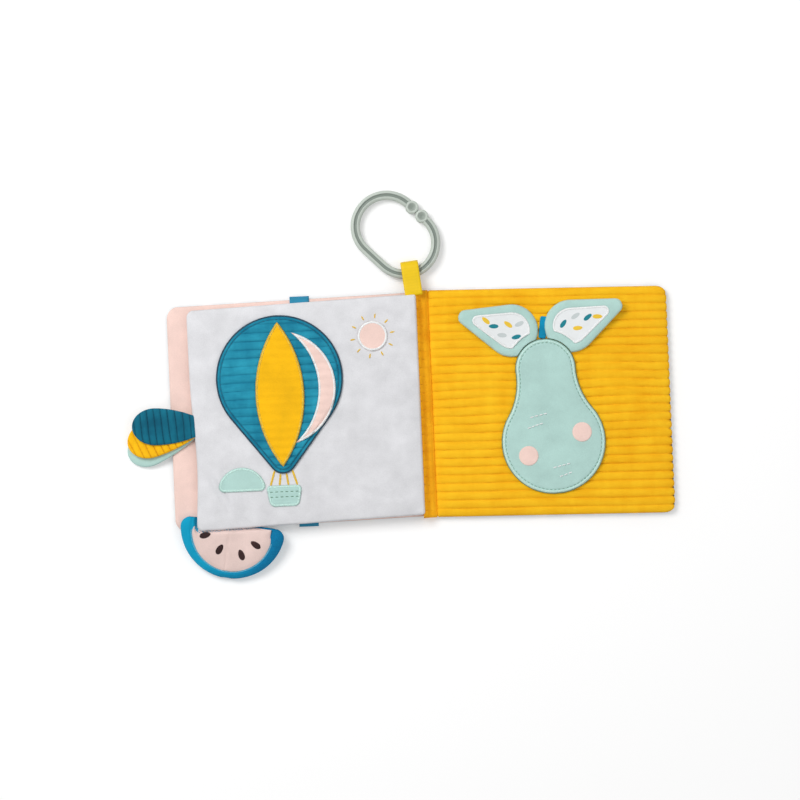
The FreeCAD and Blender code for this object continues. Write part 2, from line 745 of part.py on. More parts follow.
def leaf_flap(name, turn, ground):
    """A teardrop flap whose wide end is sewn at the pear's top, cut to the pear's outline, and its panel."""
    _, high = pear_lobes()
    direction = turned(FreeCAD.Vector(1, 0, 0), turn)
    root = high + turned(FreeCAD.Vector(0, size("pear_upper_radius"), 0), size("pear_lean_angle"))
    big = root + direction * size("flap_root_reach")
    tip = big + direction * size("flap_reach")
    outline = teardrop(big, size("flap_radius"), tip, size("flap_tip_radius"))
    flap = rounded_rim(prism(outline, ground, ground + size("flap_thickness")), size("flap_edge_round"))
    clear = prism(pear_outline(size("lay_gap")), 0, 2 * PAGE_TOP)
    clear_stem = prism(stem_outline(size("lay_gap")), 0, 2 * PAGE_TOP)
    inset = size("flap_panel_inset")
    panel_outline = teardrop(big, size("flap_radius") - inset, tip - direction * size("flap_panel_tip_inset"),
                             size("flap_panel_tip_radius"))
    top = ground + size("flap_thickness")
    panel = prism(panel_outline, top, top + size("flap_panel_thickness"))
    clear_panel = prism(pear_outline(inset), 0, 2 * PAGE_TOP)
    return [feature("leaf_flap_" + name, flap.cut(clear).cut(clear_stem)),
            feature("leaf_panel_" + name, panel.cut(clear_panel))]


def pear():
    ground = BACK_TOP + size("seat_gap")
    body = sketched_pad("pear_body", [pear_outline()], "XY_Plane", "Sizes.pear_thickness",
                        rim="pear_edge_round")
    body.Placement = laid_at(FreeCAD.Vector(0, 0, ground))
    pieces = [body]
    pieces += leaf_flap("left", size("left_flap_turn_angle"), ground)
    pieces += leaf_flap("right", size("right_flap_turn_angle"), ground)
    low, _ = pear_lobes()
    top = ground + size("pear_thickness")
    for name, offset in (("low", FreeCAD.Vector(-size("low_spot_left"), -size("low_spot_below"), top)),
                         ("high", FreeCAD.Vector(size("high_spot_right"), size("high_spot_above"), top))):
        pieces.append(disc("pear_spot_" + name, "spot_radius", "patch_thickness", low + offset))
    stem = sketched_pad("pear_stem", [stem_outline()], "XY_Plane", "Sizes.patch_thickness")
    stem.Placement = laid_at(FreeCAD.Vector(0, 0, ground))
    pieces.append(stem)
    return pieces


# The ribbon loop and the link ring.

def ring_anchor(height):
    """Where the ring's bar passes through the ribbon loop. The ring swings about the loop's own height."""
    return FreeCAD.Vector(-size("ring_left_of_spine"), RING_PLACE, height)


def ribbon_loop():
    """A folded ribbon: a band round a flat loop, cut off level with the end of the spine."""
    room, cloth = size("ribbon_room"), size("ribbon_thickness")
    fold = size("ribbon_fold_reach") - cloth
    root = SPINE_END - RING_PLACE
    start = root * CUT_ROOM
    climb = root + size("ribbon_root_run")
    flat = -size("ribbon_flat_start")
    gap = size("ribbon_root_gap") / 2
    cut = size("ribbon_cut_bend")

    def loop(grow):
        """The band's side view, the ribbon's inner face moved out by a thickness."""
        high, low = room + grow, gap + grow
        half = [(start, low), (climb, low), (flat, high), (fold + grow, high)]
        points = [FreeCAD.Vector(x, -z, 0) for x, z in half] + [FreeCAD.Vector(x, z, 0) for x, z in reversed(half)]
        bend = size("ribbon_root_bend") + grow
        end = high - size("ribbon_cut_bend")
        return points, [cut, bend, bend, end, end, bend, bend, cut]

    outer_points, outer_radii = loop(cloth)
    inner_points, inner_radii = loop(0.0)
    inner_points = inner_points[1:-1]
    inner_radii = [cut] + inner_radii[2:-2] + [cut]
    body = sketched_pad("ribbon_band", [rounded_polygon(outer_points, outer_radii),
                                        rounded_polygon(inner_points, inner_radii)],
                        "YZ_Plane", "Sizes.ribbon_width", both_sides=True)
    body.Placement = laid_at(ring_anchor(LOOP_HEIGHT), size("ribbon_turn_angle"))
    block = doc.addObject("Part::Box", "spine_end")
    block.setExpression("Length", "Sizes.page_width")
    block.setExpression("Width", SPINE_LENGTH)
    block.setExpression("Height", SPINE_LENGTH)
    low_corner = FreeCAD.Vector(-size("page_width") / 2, size("seat_gap") - SPINE_END, -SPINE_END)
    block.Placement = laid_at(low_corner)
    loop_piece = doc.addObject("Part::Cut", "ribbon_loop")
    loop_piece.Label = "ribbon_loop"
    loop_piece.Base = body
    loop_piece.Tool = block
    return loop_piece


def link_ring():
    """A link: a grooved bar bent to a long ring that ends in two cupped knobs, which meet side by side."""
    radius = size("ring_end_radius")
    near = FreeCAD.Vector(0, radius, 0)
    along = turned(FreeCAD.Vector(1, 0, 0), size("ring_lean_angle"))
    far = near + along * size("ring_straight")
    outward = turned(along, -90)
    knob_offset = size("knob_radius") + size("knob_gap") / 2
    middle = (near + far) * 0.5
    knobs = [middle + outward * radius - along * knob_offset, middle + outward * radius + along * knob_offset]
    path = Part.Wire([
        line(knobs[0], near + outward * radius),
        arc(near + outward * radius, near - along * radius, near - outward * radius),
        line(near - outward * radius, far - outward * radius),
        arc(far - outward * radius, far + along * radius, far + outward * radius),
        line(far + outward * radius, knobs[1]),
    ])

    def swept(profile):
        """A section, drawn in the XZ plane, carried along the bar from its first knob."""
        turn = FreeCAD.Rotation(FreeCAD.Vector(0, 1, 0), -along)
        profile.Placement = FreeCAD.Placement(knobs[0], turn)
        return path.makePipeShell([profile], True, True)

    half = size("ring_bar") / 2
    corners = [FreeCAD.Vector(x, 0, z) for x, z in ((-half, -half), (half, -half), (half, half), (-half, half))]
    bar = swept(rounded_polygon(corners, [size("ring_bar_round")] * 4))
    groove_height = half - size("ring_groove_depth") + size("ring_groove_radius")
    for side in (1, -1):
        groove = Part.Circle(FreeCAD.Vector(0, 0, side * groove_height), FreeCAD.Vector(0, 1, 0),
                             size("ring_groove_radius"))
        bar = bar.cut(swept(Part.Wire([groove.toShape()])))
    cup = size("knob_cup_radius")
    sink = size("knob_cup_depth")
    bowl_radius = (cup ** 2 + sink ** 2) / (2 * sink)
    solid = bar
    for centre in knobs:
        knob = Part.makeCylinder(size("knob_radius"), 2 * half, centre - FreeCAD.Vector(0, 0, half))
        solid = solid.fuse(rounded_rim(knob, size("knob_edge_round"), top_only=False))
    for centre in knobs:
        for side in (1, -1):
            lift = side * (half - sink + bowl_radius)
            solid = solid.cut(Part.makeSphere(bowl_radius, centre + FreeCAD.Vector(0, 0, lift)))
    reach = radius + size("ring_straight") * math.sin(math.radians(size("ring_lean_angle"))) + radius
    tilt = math.degrees(math.asin((BAR_HEIGHT - half) / reach))
    turn = FreeCAD.Rotation(FreeCAD.Vector(0, 0, 1), size("ribbon_turn_angle"))
    lean = turn.multiply(FreeCAD.Rotation(FreeCAD.Vector(1, 0, 0), -tilt))
    return feature("link_ring", solid, FreeCAD.Placement(ring_anchor(BAR_HEIGHT), lean))


def build():
    pieces = [inner_page(), spine_strip(), ribbon_loop()]
    pieces += petal_tabs()
    pieces += balloon()
    pieces += front_cover()
    pieces.append(strap())
    pieces += fruit_slice()
    pieces += back_cover()
    pieces += pear()
    pieces.append(link_ring())
    return pieces


def check(pieces):
    for item in doc.Objects:
        if "Invalid" in item.State or "Error" in item.State:
            raise RuntimeError("%s is not sound: %s" % (item.Name, item.State))
    for piece in pieces:
        if piece.Shape.isNull() or not piece.Shape.isValid() or not piece.Shape.Solids:
            raise RuntimeError("%s has no sound solid" % piece.Label)


def write(pieces):
    os.makedirs("parts", exist_ok=True)
    for piece in pieces:
        piece.Shape.exportStep("parts/%s.step" % piece.Label)


PIECES = build()
doc.recompute()
check(PIECES)
write(PIECES)
for piece in PIECES:
    box = piece.Shape.BoundBox
    print("%-22s solids %d volume %9.1f  X %.1f..%.1f  Y %.1f..%.1f  Z %.2f..%.2f" % (
        piece.Label, len(piece.Shape.Solids), piece.Shape.Volume, box.XMin, box.XMax,
        box.YMin, box.YMax, box.ZMin, box.ZMax))
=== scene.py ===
import math

import bmesh
import bpy
import numpy as np
from mathutils import Matrix, Vector
from mathutils.bvhtree import BVHTree
from mathutils.kdtree import KDTree


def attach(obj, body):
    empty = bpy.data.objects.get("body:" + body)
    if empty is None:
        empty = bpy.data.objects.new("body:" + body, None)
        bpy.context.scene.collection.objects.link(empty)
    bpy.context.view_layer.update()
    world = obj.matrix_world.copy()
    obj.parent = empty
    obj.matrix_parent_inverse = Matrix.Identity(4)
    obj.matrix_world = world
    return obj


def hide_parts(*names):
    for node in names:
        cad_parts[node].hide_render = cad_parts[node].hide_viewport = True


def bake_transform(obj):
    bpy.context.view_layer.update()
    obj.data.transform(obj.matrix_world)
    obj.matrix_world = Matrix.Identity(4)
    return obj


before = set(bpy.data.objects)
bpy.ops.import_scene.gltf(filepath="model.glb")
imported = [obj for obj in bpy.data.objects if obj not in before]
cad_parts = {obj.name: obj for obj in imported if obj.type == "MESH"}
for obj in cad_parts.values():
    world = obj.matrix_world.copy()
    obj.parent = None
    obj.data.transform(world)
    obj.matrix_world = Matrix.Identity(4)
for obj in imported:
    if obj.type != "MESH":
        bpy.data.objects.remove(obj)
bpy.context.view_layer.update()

# All sizes below are millimetres in the book's frame. They become metres where a mesh is made.
SEAM_PLANE = 3.0
COVER_CROWN = 3.0
HEM = 1.0
EDGE_PUFF = 14.0
PAGE_SEAM = 10.3
SPINE_HALF = 3.7
WALE_DEPTH = 1.3


# Materials.

def linear(rgb):
    """A colour in screen values, 0 to 255, as the shader takes it."""
    parts = [value / 255 for value in rgb]
    return tuple(p / 12.92 if p <= 0.04045 else ((p + 0.055) / 1.055) ** 2.4 for p in parts) + (1.0,)


def scaled(rgb, share):
    """A colour made lighter or darker by a share."""
    return tuple(min(255.0, value * share) for value in rgb)


class Shader:
    """A material and the few kinds of node that the book's cloths are made of."""

    def __init__(self, name, roughness=0.9, specular=0.25):
        self.material = bpy.data.materials.new(name)
        self.material.use_nodes = True
        self.tree = self.material.node_tree
        self.surface = self.tree.nodes["Principled BSDF"]
        self.surface.inputs["Roughness"].default_value = roughness
        self.surface.inputs["Specular IOR Level"].default_value = specular
        self.place = self.node("ShaderNodeTexCoord").outputs["Object"]

    def node(self, kind, inputs=None, **settings):
        made = self.tree.nodes.new(kind)
        for key, value in settings.items():
            setattr(made, key, value)
        for key, value in (inputs or {}).items():
            socket = made.inputs[key]
            if isinstance(value, bpy.types.NodeSocket):
                self.tree.links.new(value, socket)
            else:
                socket.default_value = value
        return made

    def stretched(self, x, y, z, turn=0.0):
        return self.node("ShaderNodeMapping", {"Vector": self.place, "Scale": (x, y, z),
                                               "Rotation": (0, 0, math.radians(turn))}).outputs[0]

    def noise(self, scale, detail=3.0, rough=0.55, place=None):
        return self.node("ShaderNodeTexNoise", {"Vector": place or self.place, "Scale": scale,
                                                "Detail": detail, "Roughness": rough}).outputs["Fac"]

    def math(self, operation, first, second):
        return self.node("ShaderNodeMath", {0: first, 1: second}, operation=operation).outputs[0]

    def ranged(self, value, low, high, to_low=0.0, to_high=1.0):
        return self.node("ShaderNodeMapRange", {"Value": value, "From Min": low, "From Max": high,
                                                "To Min": to_low, "To Max": to_high}).outputs[0]

    def mix(self, share, first, second):
        return self.node("ShaderNodeMix", {0: share, 6: first, 7: second}, data_type="RGBA").outputs[2]

    def mark(self, name):
        return self.node("ShaderNodeAttribute", attribute_name=name).outputs["Fac"]

    def colour(self, socket):
        self.tree.links.new(socket, self.surface.inputs["Base Color"])

    def bump(self, height, distance, strength=1.0, under=None):
        inputs = {"Height": height, "Distance": distance, "Strength": strength}
        if under is not None:
            inputs["Normal"] = under
        return self.node("ShaderNodeBump", inputs).outputs[0]

    def relief(self, normal):
        self.tree.links.new(normal, self.surface.inputs["Normal"])

    def sheen(self, weight, tint, roughness=0.45):
        self.surface.inputs["Sheen Weight"].default_value = weight
        self.surface.inputs["Sheen Roughness"].default_value = roughness
        self.surface.inputs["Sheen Tint"].default_value = linear(tint)


def velour(name, rgb, light=1.05, dark=0.93, sheen=0.18, blotch=70.0, tint=(255, 255, 255)):
    """Short soft pile: faint patches where it lies another way, fine fuzz and a pale sheen at its turned edges."""
    made = Shader(name)
    patches = made.noise(blotch, 2.0)
    fuzz = made.noise(1300.0, 3.0, 0.7)
    share = made.math("ADD", made.math("MULTIPLY", patches, 0.7), made.math("MULTIPLY", fuzz, 0.45))
    made.colour(made.mix(made.ranged(share, 0.38, 0.78), linear(scaled(rgb, dark)), linear(scaled(rgb, light))))
    soft = made.bump(made.noise(240.0, 2.0), 0.0006, 0.35)
    made.relief(made.bump(fuzz, 0.0003, 0.55, soft))
    made.sheen(sheen, tint)
    return made.material


def rind_velour(name, near, far):
    """The rind's pile, darker towards its right end by painted shade."""
    made = Shader(name)
    fuzz = made.noise(1300.0, 3.0, 0.7)
    patches = made.noise(80.0, 2.0)
    # Painted shade: the shade mark, with some patchy noise, moves the colour from the near colour to the darker far
    # one.
    share = made.math("ADD", made.mark("shade"), made.math("MULTIPLY", made.math("SUBTRACT", patches, 0.5), 0.7))
    pile = made.mix(made.ranged(share, 0.1, 0.95), linear(near), linear(far))
    made.colour(made.mix(made.ranged(fuzz, 0.35, 0.75, 0.0, 0.3), pile, linear(scaled(near, 1.15))))
    soft = made.bump(made.noise(240.0, 2.0), 0.0006, 0.35)
    made.relief(made.bump(fuzz, 0.0003, 0.55, soft))
    made.sheen(0.12, (120, 215, 240))
    return made.material


def corduroy(name, rgb, light, groove, stretch, sheen=0.12, fade=0.5):
    """Wide wales: the pile is streaked and lighter in random patches of wear and, by painted highlight, on each
    wale's crown; the valleys are darkened by painted shade, which fades in places.
    """
    made = Shader(name)
    along = made.stretched(*stretch)
    streaks = made.noise(170.0, 4.0, 0.65, along)
    across = made.noise(75.0, 3.0, 0.6, made.stretched(stretch[1], stretch[0], 1.0))
    fuzz = made.noise(1500.0, 3.0, 0.7)
    share = made.math("ADD", made.math("MULTIPLY", streaks, 0.6), made.math("MULTIPLY", across, 0.6))
    # Painted highlight: the crest mark lightens the pile on each wale's crown.
    share = made.math("ADD", share, made.math("MULTIPLY", made.mark("crest"), 0.1))
    pile = made.mix(made.ranged(share, 0.48, 0.86), linear(rgb), linear(light))
    # Painted shade: the valleys take the darker groove colour, faded in noise patches as far as the fade setting
    # allows.
    valley = made.ranged(made.mark("groove"), 0.1, 1.0)
    tone_and_shade_patches = made.ranged(made.noise(55.0, 2.0, 0.5, along), 0.35, 0.62, 1.0 - fade, 1.0)
    made.colour(made.mix(made.math("MULTIPLY", valley, tone_and_shade_patches), pile, linear(groove)))
    soft = made.bump(streaks, 0.0005, 0.4)
    made.relief(made.bump(fuzz, 0.0003, 0.6, soft))
    made.sheen(sheen, light)
    return made.material


def thread(name, rgb, dark=0.8):
    """Twisted embroidery thread with a soft shine."""
    made = Shader(name, 0.55, 0.4)
    strands = made.noise(1600.0, 2.0, 0.6)
    made.colour(made.mix(made.ranged(strands, 0.35, 0.7), linear(scaled(rgb, dark)), linear(scaled(rgb, 1.06))))
    made.relief(made.bump(strands, 0.0002, 0.5))
    made.sheen(0.1, (255, 255, 255))
    return made.material


def woven(name, rgb, period, dark=0.9, light=1.04, roughness=0.6, turn=0.0):
    """A close tape or plain cloth: fine ribs across it, threads along it, and slight unevenness."""
    made = Shader(name, roughness, 0.3)
    place = made.stretched(1, 1, 1, turn)
    waves = {"Vector": place, "Scale": math.pi / 10 / period, "Distortion": 0.6, "Detail": 1.0}
    ribs = made.node("ShaderNodeTexWave", waves, bands_direction="Y").outputs["Fac"]
    warp = made.node("ShaderNodeTexWave", dict(waves, Scale=math.pi / 7 / period), bands_direction="X").outputs["Fac"]
    tone_and_shade_patches = made.noise(90.0, 3.0)
    share = made.math("ADD", made.math("MULTIPLY", ribs, 0.3), made.math("MULTIPLY", tone_and_shade_patches, 0.7))
    made.colour(made.mix(made.ranged(share, 0.3, 0.8), linear(scaled(rgb, dark)), linear(scaled(rgb, light))))
    weave = made.bump(warp, 0.00003, 0.4)
    made.relief(made.bump(ribs, 0.00005, 0.5, weave))
    return made.material


def spotted(name, ground, spots):
    """Dark printed plain weave with small scattered dots of several colours."""
    made = Shader(name, 0.8)
    cells = made.node("ShaderNodeTexVoronoi", {"Vector": made.place, "Scale": 120.0, "Randomness": 0.85},
                      voronoi_dimensions="2D")
    inside = made.ranged(cells.outputs["Distance"], 0.24, 0.2)
    pick = made.node("ShaderNodeSeparateColor", {"Color": cells.outputs["Color"]})
    first, second, third = (linear(rgb) for rgb in spots)
    dots = made.mix(made.math("GREATER_THAN", pick.outputs[0], 0.4), first, second)
    dots = made.mix(made.math("GREATER_THAN", pick.outputs[1], 0.6), dots, third)
    base = made.mix(made.noise(90.0), linear(scaled(ground, 0.85)), linear(scaled(ground, 1.15)))
    made.colour(made.mix(inside, base, dots))
    weave = made.node("ShaderNodeTexChecker", {"Vector": made.place, "Scale": 2600.0}).outputs["Fac"]
    made.relief(made.bump(weave, 0.0001, 0.4))
    made.sheen(0.1, (255, 255, 255))
    return made.material


def plastic(name, rgb, groove):
    """Moulded satin plastic, darkened in its grooves and cups by painted shade."""
    made = Shader(name, 0.42, 0.45)
    wear = made.noise(60.0, 4.0)
    skin = made.mix(made.ranged(wear, 0.3, 0.75), linear(scaled(rgb, 0.96)), linear(scaled(rgb, 1.03)))
    # Painted shade: the groove mark mixes in the darker groove colour in the grooves and cups.
    made.colour(made.mix(made.ranged(made.mark("groove"), 0.0, 1.0), skin, linear(groove)))
    made.tree.links.new(made.ranged(made.noise(320.0, 3.0), 0.3, 0.7, 0.36, 0.5), made.surface.inputs["Roughness"])
    made.relief(made.bump(made.noise(900.0, 2.0), 0.00006, 0.4))
    return made.material


# How a corduroy's pile streaks are stretched: with wales that run across the book, and along a tab's short side.
WALES_ACROSS = (0.3, 1.0, 1.0)
WALES_ALONG = (1.0, 0.3, 1.0)

MATERIALS = {name: kind(name, *settings) for kind, name, *settings in (
    (velour, "white_velour", (221, 221, 224), 1.03, 0.945, 0.1),
    (velour, "pink_velour", (243, 212, 202), 1.02, 0.955, 0.1, 70.0, (255, 235, 228)),
    (velour, "mint_velour", (179, 213, 206), 1.03, 0.955, 0.12, 70.0, (225, 250, 245)),
    (velour, "teal_velour", (4, 138, 178), 1.12, 0.86, 0.15, 90.0, (120, 215, 240)),
    # The rind's second colour is the painted shade at its right end.
    (rind_velour, "rind_velour", (6, 152, 190), (0, 104, 150)),
    (thread, "thread_blue", (92, 184, 214)),
    (velour, "flesh_velour", (231, 206, 199), 1.03, 0.95, 0.1, 70.0, (255, 235, 230)),
    # Each corduroy's third colour is the painted shade in its valleys; its second, lighter colour also makes the
    # painted highlight on the wales' crowns.
    (corduroy, "teal_corduroy", (10, 110, 140), (42, 155, 182), (0, 84, 110), WALES_ACROSS),
    (corduroy, "tab_teal_corduroy", (4, 84, 108), (16, 112, 136), (0, 42, 60), WALES_ALONG),
    (corduroy, "mustard_corduroy", (240, 172, 8), (252, 196, 28), (222, 148, 2), WALES_ACROSS),
    (corduroy, "tab_mustard_corduroy", (242, 172, 6), (255, 198, 20), (190, 112, 0), WALES_ALONG),
    # A darker copy of the mustard corduroy for the spine: painted shade for its sunken gutter.
    (corduroy, "spine_corduroy", (234, 154, 4), (252, 184, 24), (186, 106, 0), (0.6, 1.0, 1.0), 0.12, 0.1),
    (velour, "mustard_velour", (246, 186, 12), 1.03, 0.95, 0.1, 70.0, (255, 225, 120)),
    (spotted, "dark_print", (22, 56, 70), ((240, 180, 30), (170, 215, 205), (235, 200, 190))),
    (woven, "drop_print", (232, 235, 236), 0.0007, 0.98, 1.01, 0.8),
    (woven, "teal_strap", (38, 140, 176), 0.001),
    (woven, "yellow_ribbon", (238, 198, 0), 0.001, 0.95, 1.02, 0.5, 7.0),
    (velour, "dark_felt", (46, 30, 30), 1.5, 0.6, 0.05),
    # The plastic's second colour is its painted shade in the grooves and cups.
    (plastic, "grey_plastic", (190, 199, 190), (126, 136, 128)),
    (thread, "thread_dark", (5, 62, 84)),
    (thread, "thread_teal", (6, 92, 118)),
    (thread, "thread_yellow", (242, 196, 48)),
    (thread, "thread_mint", (196, 230, 221), 0.9),
    (thread, "thread_white", (236, 238, 238), 0.93),
    (thread, "thread_green", (96, 140, 112)),
    (woven, "drop_teal", (26, 128, 142), 0.0007, 0.97, 1.02, 0.8),
    (woven, "drop_yellow", (236, 196, 62), 0.0007, 0.97, 1.02, 0.8),
    (woven, "drop_grey", (198, 206, 206), 0.0007, 0.98, 1.01, 0.8),
)}


# Shapes.

def ripple(x, y, wavelength, seed, count=6):
    """Soft waves without direction, about -1 to 1, the same on each run."""
    pick = np.random.default_rng(seed)
    total = np.zeros(np.broadcast(x, y).shape)
    for _ in range(count):
        angle, phase = pick.uniform(0, 2 * math.pi, 2)
        wave = 2 * math.pi / (wavelength * pick.uniform(0.7, 1.4))
        total = total + np.sin(wave * (x * math.cos(angle) + y * math.sin(angle)) + phase)
    return total / math.sqrt(count * 2)


def rounded(distance, reach):
    """A quarter circle's rise from 0 at an edge to 1 at a reach from it."""
    share = np.clip(np.asarray(distance) / reach, 0, 1)
    return np.sqrt(1 - (1 - share) ** 2)


def make(name, points, faces, body, material, marks=None):
    mesh = bpy.data.meshes.new(name)
    mesh.from_pydata((np.asarray(points, float) * 0.001).tolist(), [], faces)
    mesh.update()
    mesh.polygons.foreach_set("use_smooth", [True] * len(mesh.polygons))
    for mark, values in (marks or {}).items():
        attribute = mesh.attributes.new(mark, "FLOAT", "POINT")
        attribute.data.foreach_set("value", np.asarray(values, np.float32).ravel())
    piece = bpy.data.objects.new(name, mesh)
    bpy.context.scene.collection.objects.link(piece)
    piece.data.materials.append(MATERIALS[material])
    # A piece without a body is left unattached by make.
    if body:
        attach(piece, body)
    return piece


class Ground:
    """The top of the pieces that something is sewn on or lies on."""

    def __init__(self, *pieces):
        self.trees = []
        bpy.context.view_layer.update()
        graph = bpy.context.evaluated_depsgraph_get()
        for piece in pieces:
            self.trees.append(BVHTree.FromObject(piece, graph))

    def one(self, x, y, missing):
        best = missing
        for tree in self.trees:
            hit = tree.ray_cast(Vector((x * 0.001, y * 0.001, 0.2)), Vector((0, 0, -1)))[0]
            if hit is not None:
                best = max(best, hit.z * 1000)
        return best

    def height(self, x, y, missing=0.0):
        x, y = np.broadcast_arrays(x, y)
        flat = [self.one(px, py, missing) for px, py in zip(x.ravel(), y.ravel())]
        return np.array(flat).reshape(x.shape)


def even(half, least=0.0):
    """A span that reaches equally far to both sides, and never less than a least width."""
    def span(t):
        reach = np.maximum(half(t), least)
        return -reach, reach
    return span


class Form:
    """A closed padded form in a flat frame of its own: stations along it, each with a span across it."""

    def __init__(self, stations, span, columns, origin=(0, 0), turn=0.0):
        stations = np.asarray(stations, float)
        low, high = span(stations)
        share = np.sin(np.linspace(-1, 1, columns) * math.pi / 2)
        self.along = np.repeat(stations[:, None], columns, 1)
        self.across = ((low + high) / 2)[:, None] + ((high - low) / 2)[:, None] * share[None, :]
        angle = math.radians(turn)
        self.x = origin[0] + self.along * math.cos(angle) - self.across * math.sin(angle)
        self.y = origin[1] + self.along * math.sin(angle) + self.across * math.cos(angle)
        self.border = self.loop()
        self.edge = self.distances()

    def loop(self):
        """Indexes of the border's points, once round."""
        rows, columns = self.along.shape
        index = np.arange(rows * columns).reshape(rows, columns)
        return np.concatenate([index[0, :-1], index[:-1, -1], index[-1, :0:-1], index[:0:-1, 0]])

    def distances(self):
        """How far each point is from the outline."""
        points = np.stack([self.along.ravel(), self.across.ravel()], 1)
        ring = points[self.border]
        following = np.roll(ring, -1, 0)
        spots = []
        for first, second in zip(ring, following):
            steps = max(1, int(np.hypot(*(second - first)) / 0.6))
            spots += [first + (second - first) * step / steps for step in range(steps)]
        tree = KDTree(len(spots))
        for number, spot in enumerate(spots):
            tree.insert((spot[0], spot[1], 0), number)
        tree.balance()
        found = [tree.find((point[0], point[1], 0))[2] for point in points]
        found = np.array(found)
        found[self.border] = 0
        return found.reshape(self.along.shape)

    def outline(self):
        return np.stack([self.x.ravel()[self.border], self.y.ravel()[self.border]], 1)

    def mesh(self, name, top, bottom, body, material, slot=None, marks=None, lay=None):
        """The closed mesh between two height fields. Its border belongs to the top."""
        rows, columns = self.x.shape
        count = rows * columns
        upper = np.stack([self.x, self.y, top], 2).reshape(-1, 3)
        lower = np.stack([self.x, self.y, bottom], 2).reshape(-1, 3)
        index = np.arange(count).reshape(rows, columns)
        below = index + count
        quads = []
        for grid, turned in ((index, False), (below, True)):
            a, b, c, d = grid[:-1, :-1], grid[:-1, 1:], grid[1:, 1:], grid[1:, :-1]
            corners = (a, b, c, d) if turned else (a, d, c, b)
            quads.append(np.stack([corner.ravel() for corner in corners], 1))
        ring = self.border
        following = np.roll(ring, -1)
        quads.append(np.stack([ring, following, following + count, ring + count], 1))
        points = np.concatenate([upper, lower])
        if lay is not None:
            points = lay(points)
        values = {key: np.concatenate([np.asarray(value).ravel(), np.zeros(count)])
                  for key, value in (marks or {}).items()}
        piece = make(name, points, np.concatenate(quads).tolist(), body, material, values)
        fix_normals(piece)
        return piece


def fix_normals(piece):
    """Turns a closed mesh's faces outward."""
    work = bmesh.new()
    work.from_mesh(piece.data)
    bmesh.ops.recalc_face_normals(work, faces=work.faces)
    work.to_mesh(piece.data)
    work.free()


def eased(low, high, count):
    """Stations from low to high, close together at both ends."""
    share = (np.sin(np.linspace(-1, 1, count) * math.pi / 2) + 1) / 2
    return low + (high - low) * (0.002 + 0.996 * share)


def mixed(low, high, count, ease=0.5):
    """Stations between evenly spaced and eased ones."""
    even = np.linspace(low, high, count)
    return even * (1 - ease) + eased(low, high, count) * ease


WALE_STEPS = (0.0, 0.05, 0.15, 0.32, 0.5, 0.68, 0.85, 0.95)


def wale_stations(low, high, pitch, ends=6):
    """Stations that follow each wale's round back, with a few more at both ends."""
    wales = max(1, round((high - low) / pitch))
    step = (high - low) / wales
    rows = [low + step * (wale + share) for wale in range(wales) for share in WALE_STEPS] + [high]
    extra = [low + step * share for share in np.linspace(0, 0.3, ends)[1:]]
    rows += extra + [high - (value - low) for value in extra]
    rows = np.unique(np.round(rows, 3))
    keep = [rows[0] + 0.02] + [value for value in rows[1:-1] if value - rows[0] > 0.08 and rows[-1] - value > 0.08]
    return np.array(keep + [rows[-1] - 0.02]), step


def wales(position, low, step, waver=0.0):
    """Height share of a wale's round back at a position across the wales, and how deep in a valley it is."""
    share = np.mod((position + waver - low) / step, 1.0)
    ridge = np.sqrt(np.clip(1 - (2 * share - 1) ** 2, 0, 1))
    return ridge, np.clip(1 - ridge * 1.9, 0, 1) ** 1.1


class Leaf:
    """The outline of a padded leaf on one side of the spine: distance from the spine, and height from its middle."""

    def __init__(self, side, start, width, height, slant, corner):
        self.side, self.start, self.width, self.height = side, start, width, height
        self.slope = math.tan(math.radians(slant))
        self.corner = corner

    def middle(self, distance):
        return -self.slope * (distance - self.start)

    def at(self, from_spine, above_middle):
        distance = self.start + from_spine
        return self.side * distance, self.middle(distance) + above_middle

    def trim(self, above_middle, corner):
        room = np.clip(self.height / 2 - np.abs(above_middle), 0, corner)
        return corner - np.sqrt(np.maximum(0, corner ** 2 - (corner - room) ** 2))

    def form(self, stations, columns, outer=None):
        def span(rows):
            near = self.start + self.trim(rows, 2.0)
            far = self.start + self.width - self.trim(rows, self.corner)
            if outer is not None:
                far = far - outer(rows)
            return near, far
        form = Form(stations, span, columns)
        above, distance = form.along, form.across
        form.x = self.side * distance
        form.y = self.middle(distance) + above
        return form


PAGE = Leaf(-1, 3.7, 153.0, 147.5, 1.8, 5.0)
FRONT = Leaf(-1, 4.1, 166.8, 150.4, 1.1, 8.0)
BACK = Leaf(1, 4.1, 159.4, 152.0, 1.35, 6.5)


def fold(x, y, start, end, width, height):
    """A soft crease from start to end: a low round ridge that fades at both ends."""
    (ax, ay), (bx, by) = start, end
    length = math.hypot(bx - ax, by - ay)
    ux, uy = (bx - ax) / length, (by - ay) / length
    along = (x - ax) * ux + (y - ay) * uy
    across = -(x - ax) * uy + (y - ay) * ux
    fade = np.clip(np.minimum(along, length - along) / (length * 0.35), 0, 1)
    return height * np.exp(-(across / width) ** 2) * fade * fade * (3 - 2 * fade)


# Threads.

def resample(path, step, closed=False):
    """Points at even steps along a path of points, and their directions."""
    path = np.asarray(path, float)
    if closed:
        path = np.concatenate([path, path[:1]])
    lengths = np.concatenate([[0], np.cumsum(np.hypot(*np.diff(path, axis=0).T))])
    count = max(2, int(round(lengths[-1] / step)) + 1)
    spots = np.linspace(0, lengths[-1], count)
    if closed:
        spots = spots[:-1]
    x = np.interp(spots, lengths, path[:, 0])
    y = np.interp(spots, lengths, path[:, 1])
    points = np.stack([x, y], 1)
    if closed:
        heading = np.roll(points, -1, 0) - np.roll(points, 1, 0)
    else:
        heading = np.gradient(points, axis=0)
    heading /= np.hypot(heading[:, 0], heading[:, 1])[:, None] + 1e-9
    return points, heading


